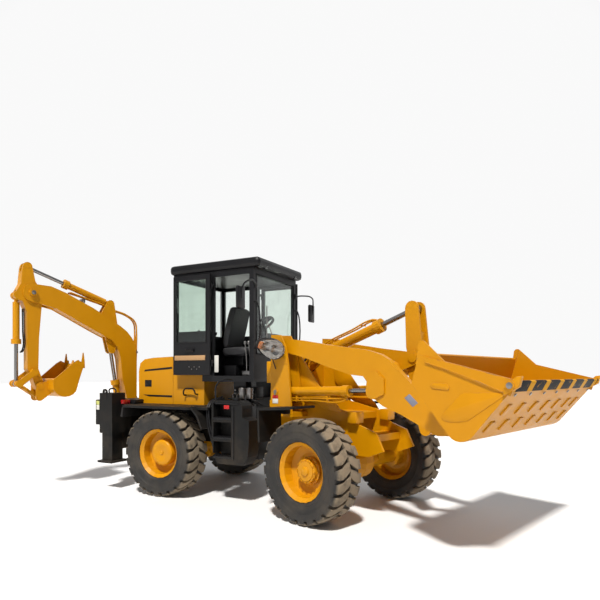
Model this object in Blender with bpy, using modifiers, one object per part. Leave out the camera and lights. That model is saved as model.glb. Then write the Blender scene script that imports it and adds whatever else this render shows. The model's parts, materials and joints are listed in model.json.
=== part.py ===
"""Articulated backhoe loader, at rest as it parks: front frame steered a little to the right, loader bucket
raised and rolled back, backhoe swung to the right with its arm hanging and its bucket curled.

Frames: the rear frame has X forward, Y to the machine's left, Z up from the ground, and the steering pivot at
X = Y = 0. The front frame turns about that pivot. The backhoe has its own frame, turned about the swing pin,
with the boom pointing to its -X. Lengths are metres, angles degrees.
"""
import math

import bmesh
import bpy
from mathutils import Matrix, Vector

# Fit between pieces
SEAT_GAP = 0.0004
PIN_GAP = 0.004
SIDE_GAP = 0.008

# Wheels
TYRE_RADIUS = 0.5875
TYRE_WIDTH = 0.41
BEAD_RADIUS = 0.306
FLANGE_RADIUS = 0.333
TRACK = 1.745
WHEEL_STEPS = 24
REAR_AXLE_X = -1.4026
FRONT_AXLE_X = 1.306
STEER_REST = -16.35

# Chassis
RAIL_Y = 0.36
RAIL_THICK = 0.03
RAIL_TOP = 0.98
RAIL_BOTTOM = 0.7
REAR_END_X = -2.32
HINGE_LUG_THICK = 0.045
HINGE_LOW = 0.52
HINGE_HIGH = 0.95
HINGE_PIN_RADIUS = 0.04
AXLE_TUBE_RADIUS = 0.1
AXLE_BOWL_RADIUS = 0.2

# Hood, deck and tanks
HOOD_HALF = 0.55
HOOD_TOP = 1.92
HOOD_SPLIT_X = -1.56
HOOD_FRONT_X = -0.99
HOOD_REAR_X = -2.23
SHEET = 0.02
TYRE_ROOM = 0.06
DECK_TOP = 2 * TYRE_RADIUS + TYRE_ROOM
DECK_THICK = 0.035
HOOD_BOTTOM = DECK_TOP + SEAT_GAP
FENDER_HALF = 1.05
TANK_INNER = 0.71
TANK_OUTER = 0.95
TANK_TOP = 1.33
TANK_BOTTOM = 0.51

# Cab
CAB_HALF = 0.6
CAB_FRONT_X = -0.13
CAB_REAR_X = -1.5
CAB_FLOOR = 1.65
CAB_SHELF = 2.0
CAB_TOP = 3.1
ROOF_TOP = 3.24
PILLAR = 0.07
CAB_WALL = 0.04
CAB_HEADER = 0.08
WINDSHIELD_BOTTOM = 1.95
REAR_GLASS_BOTTOM = 2.28
DOOR_HINGE_X = -0.78
DOOR_FRONT_X = -0.20
DOOR_THICK = 0.035
DOOR_GAP = 0.012
DOOR_BOTTOM = 1.66
DOOR_TOP = 3.06
DOOR_WIDTH = 0.66
DOOR_GLASS_BOTTOM = 2.12
DOOR_KNUCKLES = (1.78, 2.86)
KNUCKLE_RADIUS = 0.011

# Front frame and loader, in the front frame
TOWER_OUTER_Y = 0.60
TOWER_INNER_Y = 0.40
TOWER_PLATE = 0.022
ARM_Y = 0.5
ARM_THICK = 0.07
ARM_PIVOT = (0.45, 2.03)
LIFT_BASE = (0.46, 1.45)
LIFT_EYE = (1.93, 1.49)
LIFT_EYE_HALF = 0.03
LIFT_BORE = 0.0575
LIFT_ROD = 0.027
LIFT_RETRACT = 0.22
LIFT_DRIFT = 0.08
BUCKET_PIVOT = (3.0, 1.16)
ROCKER_PIVOT = (2.17, 1.86)
ROCKER_TOP = (2.13, 2.42)
ROCKER_LOW = (2.302, 1.059)
LINK_EAR = (2.788, 1.359)
TILT_BASE = (0.52, 1.87)
ROCKER_Y = 0.07
ROCKER_PLATE = 0.025
TILT_BORE = 0.065
TILT_ROD = 0.0325
TILT_RETRACT = 0.29
TILT_PIN = 0.036
TILT_PIN_HALF = 0.075
LINK_HALF = 0.04
BUCKET_HALF = 1.1
BUCKET_SHEET = 0.022
BUCKET_LIP = (3.72, 1.62)
BUCKET_CREST = (2.83, 1.85)
BUCKET_KINK = (2.755, 1.585)
HEEL_CENTRE = (3.225, 1.24)
HEEL_RADIUS = 0.14

# Backhoe: swing pin in the rear frame, the rest in the boom's plane (x = -reach)
SWING_PIN = (-2.75, 0.1)
SWING_REST = 74.0
SWING_LUG_LOW = 0.62
SWING_LUG_HIGH = 1.21
SWING_LUG_THICK = 0.06
BOOM_FOOT = (-0.255, 1.06)
BOOM_TIP = (-1.80, 2.83)
BOOM_HALF = 0.1
BOOM_PLATE = 0.02
BOOM_FOOT_HALF = 0.107
BOOM_EYE_HALF = 0.035
BOOM_BORE = 0.05
BOOM_RETRACT = 0.38
POST_INNER = 0.115
BOOM_CYL_BASE = (-0.40, 0.80)
BOOM_CYL_EYE = (-0.60, 2.06)
DIPPER_CYL_BASE = (-0.62, 2.79)
DIPPER_CYL_EYE = (-1.86, 3.2)
DIPPER_PIN = (-1.70, 1.50)
DIPPER_HALF = 0.075
DIPPER_EYE_HALF = 0.035
DIPPER_BORE = 0.05
DIPPER_RETRACT = 0.465
DIPPER_DRIFT = 0.056
DIG_EYE_HALF = 0.03
DIG_BORE = 0.045
DIG_RETRACT = 0.36
LEVER_INNER = 0.115
LINK_INNER = 0.036
EAR_INNER = 0.085
DIG_CYL_BASE = (-1.99, 2.78)
DIG_ROD_PIN = (-1.99, 1.54)
LEVER_PIVOT = (-1.787, 1.70)
DIG_EAR = (-1.71, 1.34)
DIG_BUCKET_HALF = 0.31
DIG_TEETH = 4
DIG_SHEET = 0.016
TOOTH_HALF = 0.03

# Stabilizers
STAB_X = -2.345
STAB_Y = 0.96
STAB_HOUSING = 0.25
STAB_LEG = 0.2
STAB_TOP = 1.40
STAB_HOUSING_BOTTOM = 0.82
STAB_FOOT_BOTTOM = 0.395


for old in list(bpy.data.objects):
    bpy.data.objects.remove(old, do_unlink=True)

parts = bpy.data.collections.new("backhoe_loader")
bpy.context.scene.collection.children.link(parts)
origin_of = {}


def paint(name, colour, roughness, metallic=0.0):
    """A Principled material in one colour."""
    made = bpy.data.materials.new(name)
    made.use_nodes = True
    shader = made.node_tree.nodes["Principled BSDF"]
    shader.inputs["Base Color"].default_value = (*colour, 1)
    shader.inputs["Roughness"].default_value = roughness
    shader.inputs["Metallic"].default_value = metallic
    made.diffuse_color = (*colour, 1)
    return made


YELLOW = paint("yellow_paint", (0.80, 0.42, 0.02), 0.35)
BLACK = paint("black_paint", (0.02, 0.02, 0.022), 0.5)
RUBBER = paint("rubber", (0.03, 0.03, 0.03), 0.9)
STEEL = paint("bright_steel", (0.55, 0.55, 0.56), 0.25, 1.0)
GLASS = paint("cab_glass", (0.35, 0.5, 0.42), 0.1)
LAMP = paint("lamp_lens", (0.85, 0.85, 0.85), 0.15)
SEAT_VINYL = paint("seat_vinyl", (0.03, 0.03, 0.035), 0.7)


def frame(name, at, parent=None, turn=0.0):
    """An empty on a joint's axis. Its place is given in its frame, whose empty has no frame of its own."""
    empty = bpy.data.objects.new(name + "_axis", None)
    parts.objects.link(empty)
    empty.empty_display_size = 0.1
    empty.parent = parent
    above = origin_of.get(parent, Vector()) if parent else Vector()
    empty.location = Vector(at) - above
    empty.rotation_euler = (0, 0, math.radians(turn))
    origin_of[empty] = Vector() if turn or parent is None else Vector(at)
    return empty


def joint(name, parent, x, z, y=0.0):
    """An empty on a cross pin at (x, z) of its frame."""
    return frame(name, (x, y, z), parent)


def mesh_object(name, bm):
    """A mesh object in the parts collection from a bmesh, with its normals pointing out."""
    bmesh.ops.remove_doubles(bm, verts=bm.verts, dist=1e-5)
    bmesh.ops.recalc_face_normals(bm, faces=bm.faces)
    data = bpy.data.meshes.new(name)
    bm.to_mesh(data)
    bm.free()
    made = bpy.data.objects.new(name, data)
    parts.objects.link(made)
    return made


def applied(made):
    """The object with its curve or modifiers turned into a plain welded mesh."""
    bpy.context.view_layer.update()
    graph = bpy.context.evaluated_depsgraph_get()
    data = bpy.data.meshes.new_from_object(made.evaluated_get(graph))
    bm = bmesh.new()
    bm.from_mesh(data)
    bm.transform(made.matrix_world)
    bpy.data.meshes.remove(data)
    bpy.data.objects.remove(made, do_unlink=True)
    return mesh_object("shape", bm)


def box(x0, x1, y0, y1, z0, z1, bevel=0.0):
    """A box between two corners, with its edges rounded where bevel is given."""
    bm = bmesh.new()
    bmesh.ops.create_cube(bm, size=1)
    size = Vector((x1 - x0, y1 - y0, z1 - z0))
    centre = Vector((x0 + x1, y0 + y1, z0 + z1)) / 2
    bm.transform(Matrix.Translation(centre) @ Matrix.Diagonal((*size, 1)))
    if bevel:
        bmesh.ops.bevel(bm, geom=bm.edges[:], offset=bevel, segments=2, profile=0.5, affect="EDGES")
    return mesh_object("shape", bm)


def rod(start, end, radius, sides=12, end_radius=None):
    """A round bar or cone between two points."""
    start, end = Vector(start), Vector(end)
    along = end - start
    bm = bmesh.new()
    bmesh.ops.create_cone(
        bm, cap_ends=True, segments=sides, radius1=radius,
        radius2=radius if end_radius is None else end_radius, depth=along.length,
    )
    turn = Matrix.Rotation(math.pi / sides, 4, "Z")
    face = along.to_track_quat("Z", "Y").to_matrix().to_4x4()
    bm.transform(Matrix.Translation((start + end) / 2) @ face @ turn)
    return mesh_object("shape", bm)


def pin(x, z, y0, y1, radius, sides=10):
    """A cross pin or boss along Y."""
    return rod((x, y0, z), (x, y1, z), radius, sides)


def arc(centre, radius, start, end, steps):
    """Points on an arc, angles in degrees anticlockwise from +x."""
    turns = [math.radians(start + (end - start) * i / steps) for i in range(steps + 1)]
    return [(centre[0] + radius * math.cos(a), centre[1] + radius * math.sin(a)) for a in turns]


def plate(outline, y0, y1, holes=()):
    """A flat plate in the XZ plane between y0 and y1, from a 2D curve with round holes (x, z, radius)."""
    curve = bpy.data.curves.new("outline", "CURVE")
    curve.dimensions = "2D"
    curve.fill_mode = "BOTH"
    curve.extrude = (y1 - y0) / 2
    loops = [outline]
    loops += [arc((x, z), radius, 0, 360 * 11 / 12, 11) for x, z, radius in holes]
    for loop in loops:
        spline = curve.splines.new("POLY")
        spline.points.add(len(loop) - 1)
        for point, (x, z) in zip(spline.points, loop):
            point.co = (x, z, 0, 1)
        spline.use_cyclic_u = True
    made = bpy.data.objects.new("outline", curve)
    parts.objects.link(made)
    made.rotation_euler = (math.pi / 2, 0, 0)
    made.location = (0, (y0 + y1) / 2, 0)
    return applied(made)


def flat(outline, z0, z1):
    """A flat plate in the XY plane between z0 and z1."""
    curve = bpy.data.curves.new("outline", "CURVE")
    curve.dimensions = "2D"
    curve.fill_mode = "BOTH"
    curve.extrude = (z1 - z0) / 2
    spline = curve.splines.new("POLY")
    spline.points.add(len(outline) - 1)
    for point, (x, y) in zip(spline.points, outline):
        point.co = (x, y, 0, 1)
    spline.use_cyclic_u = True
    made = bpy.data.objects.new("outline", curve)
    parts.objects.link(made)
    made.location = (0, 0, (z0 + z1) / 2)
    return applied(made)


def tube(points, radius, sides=8):
    """A bent bar along straight runs, as a beveled curve with filled caps."""
    curve = bpy.data.curves.new("route", "CURVE")
    curve.dimensions = "3D"
    curve.bevel_depth = radius
    curve.bevel_resolution = max(0, sides // 4 - 1)
    curve.use_fill_caps = True
    spline = curve.splines.new("POLY")
    spline.points.add(len(points) - 1)
    for point, at in zip(spline.points, points):
        point.co = (*at, 1)
    made = bpy.data.objects.new("route", curve)
    parts.objects.link(made)
    return applied(made)


def turned(profile, steps, centre, outward=1, closed=False):
    """A shape turned about Y. The profile has columns (radius, distance outward) and runs down its outer side."""
    data = bpy.data.meshes.new("profile")
    count = len(profile)
    edges = [(i, i + 1) for i in range(count - 1)]
    if closed:
        edges.append((count - 1, 0))
    data.from_pydata([(radius, 0, out) for radius, out in profile], edges, [])
    made = bpy.data.objects.new("profile", data)
    parts.objects.link(made)
    spin = made.modifiers.new("turn", "SCREW")
    spin.steps = spin.render_steps = steps
    spin.use_merge_vertices = True
    spin.merge_threshold = 1e-4
    made.rotation_euler = (-math.pi / 2 * outward, 0, 0)
    made.location = centre
    return applied(made)


def band(points, thickness):
    """The outline of a sheet of even thickness laid on the left of a run of points."""
    inner = []
    for i, (x, z) in enumerate(points):
        before = Vector(points[max(i - 1, 0)])
        after = Vector(points[min(i + 1, len(points) - 1)])
        here = Vector((x, z))
        a = (here - before).normalized() if i else (after - here).normalized()
        b = (after - here).normalized() if i < len(points) - 1 else a
        normal = Vector((-(a + b).y, (a + b).x)).normalized()
        reach = thickness / max(normal.dot(Vector((-a.y, a.x))), 0.5)
        inner.append(tuple(here + normal * reach))
    return list(points) + inner[::-1]


def trough(run, mouth, thickness, half, side_sheet):
    """A bucket's body and the room to cut from it: the run is its outer profile, the mouth its open edge."""
    inner = band(run, thickness)[len(run):][::-1]
    first, last = Vector(inner[0]), Vector(inner[-1])
    first += (Vector(run[0]) - Vector(run[1])).normalized() * 0.2
    last += (Vector(run[-1]) - Vector(run[-2])).normalized() * 0.2
    room = [tuple(first)] + inner + [tuple(last)]
    return plate(list(run) + list(mouth), -half, half), plate(room, -half + side_sheet, half - side_sheet)


def combine(kind, base, others):
    """The base joined with, or cut by, each of the others, which are used up."""
    for other in others:
        step = base.modifiers.new(kind, "BOOLEAN")
        step.operation = kind
        step.object = other
        step.solver = "EXACT"
    made = applied(base)
    for other in others:
        bpy.data.objects.remove(other, do_unlink=True)
    return made


def piece(name, material, shapes, cuts=(), parent=None):
    """One named sub-part from overlapping shapes less the cuts, hung on its joint's empty."""
    shapes = list(shapes)
    made = combine("UNION", shapes[0], shapes[1:]) if len(shapes) > 1 else applied(shapes[0])
    if cuts:
        made = combine("DIFFERENCE", made, list(cuts))
    tidied = bmesh.new()
    tidied.from_mesh(made.data)
    bmesh.ops.dissolve_limit(tidied, angle_limit=math.radians(0.1), verts=tidied.verts, edges=tidied.edges)
    tidied.to_mesh(made.data)
    tidied.free()
    made.name = name
    made.data.name = name
    made.data.materials.clear()
    made.data.materials.append(material)
    made.data.shade_smooth()
    made.data.set_sharp_from_angle(angle=math.radians(35))
    if parent:
        made.parent = parent
        made.location = -origin_of[parent]
    return made


def mirrored(points):
    """The points of a half outline in XY and their mirror images, as one closed outline."""
    return list(points) + [(x, -y) for x, y in reversed(points)]


machine = frame("machine", (0, 0, 0))
steering = frame("steering", (0, 0, 0), machine, STEER_REST)
swing = frame("swing", (*SWING_PIN, 0), machine, SWING_REST)


def wheel(name, parent, x, side):
    """One tyre and its rim on the axle end; side is +1 on the left."""
    y = side * TRACK / 2
    hub = joint("wheel_" + name, parent, x, TYRE_RADIUS, y)
    half = TYRE_WIDTH / 2
    tyre_section = [
        (TYRE_RADIUS, 0.75 * half), (TYRE_RADIUS, -0.75 * half), (0.955 * TYRE_RADIUS, -0.95 * half),
        (0.80 * TYRE_RADIUS, -half), (0.64 * TYRE_RADIUS, -0.93 * half), (FLANGE_RADIUS + 0.003, -0.84 * half),
        (FLANGE_RADIUS + 0.003, -0.705 * half), (BEAD_RADIUS + SEAT_GAP, -0.63 * half),
        (BEAD_RADIUS + SEAT_GAP, 0.63 * half), (FLANGE_RADIUS + 0.003, 0.705 * half),
        (FLANGE_RADIUS + 0.003, 0.84 * half), (0.64 * TYRE_RADIUS, 0.93 * half),
        (0.80 * TYRE_RADIUS, half), (0.955 * TYRE_RADIUS, 0.95 * half),
    ]
    centre = (x, y, TYRE_RADIUS)
    piece("tyre_" + name, RUBBER, [turned(tyre_section, WHEEL_STEPS, centre, side, closed=True)], parent=hub)
    flange = 0.80 * half
    rim_section = [
        (0, 0.09), (0.11, 0.085), (0.13, -0.01), (0.2, -0.02), (BEAD_RADIUS - 0.016, 0.01),
        (BEAD_RADIUS - 0.016, 0.62 * half), (FLANGE_RADIUS, flange),
        (FLANGE_RADIUS, 0.72 * half), (BEAD_RADIUS, 0.64 * half), (BEAD_RADIUS, -0.64 * half),
        (FLANGE_RADIUS, -0.72 * half), (FLANGE_RADIUS, -flange),
        (BEAD_RADIUS - 0.016, -0.62 * half), (BEAD_RADIUS - 0.016, -0.01), (0.2, -0.045), (0, -0.045),
    ]
    piece("rim_" + name, YELLOW, [turned(rim_section, WHEEL_STEPS, centre, side)], parent=hub)


def axle(name, parent, x):
    """An axle: centre bowl, tapering tubes and a round flange behind each wheel disc."""
    disc = TRACK / 2 - 0.045 - SEAT_GAP
    shapes = [rod((x, -disc + 0.08, TYRE_RADIUS), (x, disc - 0.08, TYRE_RADIUS), AXLE_TUBE_RADIUS, 16)]
    shapes.append(turned(
        [(0, 0.2), (0.12, 0.19), (AXLE_BOWL_RADIUS, 0.07), (AXLE_BOWL_RADIUS, -0.07), (0.12, -0.19), (0, -0.2)],
        16, (x, 0, TYRE_RADIUS)))
    for side in (-1, 1):
        shapes.append(rod((x, side * (disc - 0.12), TYRE_RADIUS), (x, side * disc, TYRE_RADIUS), 0.15, 20))
        shapes.append(box(x - 0.11, x + 0.11, *sorted((side * 0.30, side * 0.42)),
                          TYRE_RADIUS, RAIL_BOTTOM - SEAT_GAP))
    return piece(name, YELLOW, shapes, parent=parent)


def actuator(name, parent, base, eye, bore, thick, eye_half, y=0.0, head=0.02, reach=0.72, bush=0.0, neck=0.0,
             retract=0.1):
    """A hydraulic cylinder from its base pin to its rod's eye, both in the frame's XZ plane.

    The barrel takes a share, reach, of the length at rest. The rod ends inside it where it can still go in by retract.
    A neck is the distance from the base pin to the full barrel, where lugs stand closer than the barrel is wide.
    A bush is the radius of a separate base pin, for which the base eye is bored.
    """
    start, end = Vector((base[0], y, base[1])), Vector((eye[0], y, eye[1]))
    along = (end - start).normalized()
    length = (end - start).length
    barrel_end = start + along * length * reach
    foot = max(neck, 0.9 * bore)
    shapes = [rod(start + along * foot, barrel_end, bore, 16)]
    shapes.append(rod(start, start + along * (foot + 0.01), 0.9 * eye_half, 12))
    shapes.append(rod(barrel_end - along * 1.5 * bore, barrel_end, bore + head, 16))
    shapes.append(pin(start.x, start.z, y - eye_half, y + eye_half, 1.05 * bore, 16))
    cuts = [rod(start + along * (foot + 0.04), barrel_end + along * 0.05, thick + PIN_GAP, 12)]
    if bush:
        cuts.append(pin(start.x, start.z, y - eye_half - 0.05, y + eye_half + 0.05, facet_out(bush, 20), 20))
    base_joint = joint(name + "_cylinder", parent, start.x, start.z, y)
    piece(name + "_barrel", YELLOW, shapes, cuts, parent=base_joint)
    inner = start + along * (foot + 0.06 + retract)
    shapes = [rod(inner, end - along * 0.6 * bore, thick, 12)]
    shapes.append(pin(end.x, end.z, y - eye_half, y + eye_half, 0.85 * bore, 16))
    piece(name + "_rod", STEEL, shapes, parent=base_joint)
    return base_joint


def facet_out(radius, sides):
    """Radius of a faceted bore whose flats clear a round pin by the seat gap."""
    return (radius + SEAT_GAP) / math.cos(math.pi / sides)


def collar(x, z, side, start, end, radius, sides=10):
    """A boss along Y on one side of the centre plane, from start to end."""
    y0, y1 = sorted((side * start, side * end))
    return pin(x, z, y0, y1, radius, sides)


def cheek(outline, side, start, end, holes=()):
    """A plate on one side of the centre plane, from start to end."""
    y0, y1 = sorted((side * start, side * end))
    return plate(outline, y0, y1, holes)


def rear_frame():
    """Chassis rails, hinge lugs, cross members, and the backhoe's frame with the stabilizer housings."""
    shapes = []
    for side in (-1, 1):
        inner, outer = sorted((side * RAIL_Y, side * (RAIL_Y + RAIL_THICK)))
        shapes.append(plate(
            [(REAR_END_X, RAIL_BOTTOM - 0.1), (-1.75, RAIL_BOTTOM), (-0.45, RAIL_BOTTOM), (-0.3, 0.5), (-0.18, 0.5),
             (-0.18, RAIL_TOP), (REAR_END_X, RAIL_TOP)], inner, outer))
    shapes.append(box(-0.24, -0.182, -RAIL_Y - 0.02, RAIL_Y + 0.02, 0.504, RAIL_TOP + 0.06))
    shapes.append(box(-0.98, -0.86, -RAIL_Y - 0.01, RAIL_Y + 0.01, 0.72, 0.94))
    shapes.append(box(-1.95, -1.83, -RAIL_Y - 0.01, RAIL_Y + 0.01, 0.72, 0.94))
    lug = [(-0.22, 0.2), (-0.05, 0.1)] + arc((0, 0), 0.095, 90, 0, 5)
    for z in (HINGE_LOW, HINGE_HIGH):
        shapes.append(flat(mirrored(lug[:-1]), z, z + HINGE_LUG_THICK))
    shapes.append(rod((0, 0, 0.5), (0, 0, 1.03), HINGE_PIN_RADIUS, 16))
    # Backhoe frame
    x0, x1 = STAB_X - STAB_HOUSING / 2 + 0.02, STAB_X + STAB_HOUSING / 2 - 0.02
    reach = STAB_Y - STAB_HOUSING / 2 + 0.02
    shapes.append(box(x0, x1, -reach, reach, 1.16, 1.30))
    shapes.append(box(x0, x1, -reach, reach, 0.58, 0.74))
    shapes.append(box(x0 + 0.06, x0 + 0.1, -0.6, 0.6, 0.66, 1.2))
    for side in (-1, 1):
        y0, y1 = sorted((side * (reach - 0.16), side * reach))
        shapes.append(box(x0, x1, y0, y1, 0.60, 1.28))
        y0, y1 = side * STAB_Y - STAB_HOUSING / 2, side * STAB_Y + STAB_HOUSING / 2
        shapes.append(box(STAB_X - STAB_HOUSING / 2, STAB_X + STAB_HOUSING / 2, y0, y1,
                          STAB_HOUSING_BOTTOM, STAB_TOP))
        eye = arc((STAB_X - 0.02, STAB_TOP + 0.02), 0.04, 0, 180, 6)
        eye += [(STAB_X - 0.06, STAB_TOP - 0.1), (STAB_X + 0.02, STAB_TOP - 0.1)]
        start = STAB_Y + STAB_HOUSING / 2
        shapes.append(cheek(eye, side, start - 0.02, start + 0.004, [(STAB_X - 0.02, STAB_TOP + 0.02, 0.018)]))
    # Carriage with the swing pin's lugs
    kx, ky = SWING_PIN
    shapes.append(box(x0 - 0.07, x0 + 0.02, ky - 0.3, ky + 0.3, 0.60, 1.29))
    ear = [(x0 - 0.05, ky + 0.2), (kx + 0.03, ky + 0.1)]
    ear += arc((kx, ky), 0.1, 90, 270, 8)
    ear += [(kx + 0.03, ky - 0.1), (x0 - 0.05, ky - 0.2)]
    for z in (SWING_LUG_LOW, SWING_LUG_HIGH):
        shapes.append(flat(ear, z, z + SWING_LUG_THICK))
    shapes.append(rod((kx, ky, 0.6), (kx, ky, 1.30), HINGE_PIN_RADIUS, 16))
    cuts = []
    for side in (-1, 1):
        half = STAB_LEG / 2 + SEAT_GAP
        cuts.append(box(STAB_X - half, STAB_X + half, side * STAB_Y - half, side * STAB_Y + half,
                        STAB_HOUSING_BOTTOM - 0.1, STAB_TOP - 0.03))
    return piece("rear_frame", BLACK, shapes, cuts, parent=machine)


def stabilizer(name, side):
    """A square leg with its foot, sliding in its housing."""
    slide = joint("stabilizer_" + name, machine, STAB_X, STAB_FOOT_BOTTOM, side * STAB_Y)
    half = STAB_LEG / 2
    y = side * STAB_Y
    shapes = [
        box(STAB_X - half, STAB_X + half, y - half, y + half, STAB_FOOT_BOTTOM + 0.02, STAB_TOP - 0.09),
        box(STAB_X - 0.14, STAB_X + 0.14, y - 0.15, y + 0.15, STAB_FOOT_BOTTOM, STAB_FOOT_BOTTOM + 0.03),
    ]
    piece("stabilizer_leg_" + name, BLACK, shapes, parent=slide)


def body_rear():
    """Deck with fenders, hood, engine and tanks."""
    outline = [(-2.20, 0.60), (-2.20, 0.80), (-2.05, FENDER_HALF), (-0.86, FENDER_HALF), (-0.80, 0.98),
               (-0.62, 0.96), (-0.62, 0.40)]
    shapes = [flat(mirrored(outline), DECK_TOP - DECK_THICK, DECK_TOP)]
    for side in (-1, 1):
        y0, y1 = sorted((side * 0.68, side * FENDER_HALF))
        shapes.append(plate(band([(-0.84, DECK_TOP - 0.01), (-0.74, 1.12), (-0.66, 0.95)], 0.025), y0, y1))
        shapes.append(box(-2.1, -0.7, *sorted((side * (RAIL_Y + 0.002), side * (RAIL_Y + 0.04))),
                          RAIL_TOP + SEAT_GAP, DECK_TOP - 0.01))
    piece("rear_deck", BLACK, shapes, parent=machine)
    piece("engine_block", BLACK, [box(-2.08, -1.1, -0.3, 0.3, DECK_TOP + SEAT_GAP, 1.78, 0.03)], parent=machine)
    side_wall = [
        (HOOD_REAR_X, HOOD_BOTTOM), (HOOD_REAR_X, 1.72), (HOOD_REAR_X + 0.03, 1.84), (HOOD_REAR_X + 0.12, 1.9),
        (HOOD_REAR_X + 0.3, HOOD_TOP), (HOOD_SPLIT_X, HOOD_TOP + 0.012), (HOOD_SPLIT_X, HOOD_BOTTOM),
    ]
    lid = joint("hood_hinge", machine, HOOD_SPLIT_X, HOOD_TOP)
    inner_wall = [
        (HOOD_REAR_X + SHEET, HOOD_BOTTOM - 0.1), (HOOD_REAR_X + SHEET, 1.71), (HOOD_REAR_X + 0.045, 1.825),
        (HOOD_REAR_X + 0.13, 1.88), (HOOD_REAR_X + 0.3, HOOD_TOP - SHEET),
        (HOOD_SPLIT_X + 0.1, HOOD_TOP - SHEET), (HOOD_SPLIT_X + 0.1, HOOD_BOTTOM - 0.1),
    ]
    slots = [box(HOOD_REAR_X - 0.05, HOOD_REAR_X + 0.08, -0.4, 0.4, low, low + 0.03)
             for low in (1.34, 1.40, 1.46, 1.52, 1.58, 1.64)]
    piece("engine_hood", YELLOW, [plate(side_wall, -HOOD_HALF, HOOD_HALF)],
          [plate(inner_wall, -HOOD_HALF + SHEET, HOOD_HALF - SHEET)] + slots, parent=lid)
    x0, x1 = HOOD_SPLIT_X + 0.006, HOOD_FRONT_X
    piece("hood_base", YELLOW, [box(x0, x1, -HOOD_HALF, HOOD_HALF, HOOD_BOTTOM, HOOD_TOP)],
          [box(x0 - 0.1, x1 - SHEET, -HOOD_HALF + SHEET, HOOD_HALF - SHEET, HOOD_BOTTOM - 0.1, HOOD_TOP - SHEET)],
          parent=machine)


def tank(name, side):
    """Side tank beside the frame with the access ladder let into its rear part."""
    y0, y1 = sorted((side * TANK_INNER, side * TANK_OUTER))
    profile = [(-0.54, 0.66), (-0.47, TANK_BOTTOM), (-0.06, TANK_BOTTOM), (0.0, 0.62), (0.02, 0.8), (0.02, 1.08)]
    profile += [(-0.08, 1.12)] + arc((-0.18, 1.23), 0.1, 0, 90, 4) + [(-0.56, TANK_TOP), (-0.56, 0.8)]
    shapes = [plate(profile, y0, y1)]
    y0, y1 = sorted((side * (RAIL_Y + RAIL_THICK + SEAT_GAP), side * (TANK_INNER + 0.02)))
    shapes.append(box(-0.5, -0.4, y0, y1, 0.78, 0.92))
    shapes.append(box(-0.3, -0.22, y0, y1, 0.78, 0.92))
    y0, y1 = sorted((side * (TANK_OUTER - 0.16), side * (TANK_OUTER + 0.02)))
    cuts = [box(-0.53, -0.25, y0, y1, low, low + 0.2) for low in (0.60, 0.85, 1.10)]
    piece("tank_" + name, BLACK, shapes, cuts, parent=machine)


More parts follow.
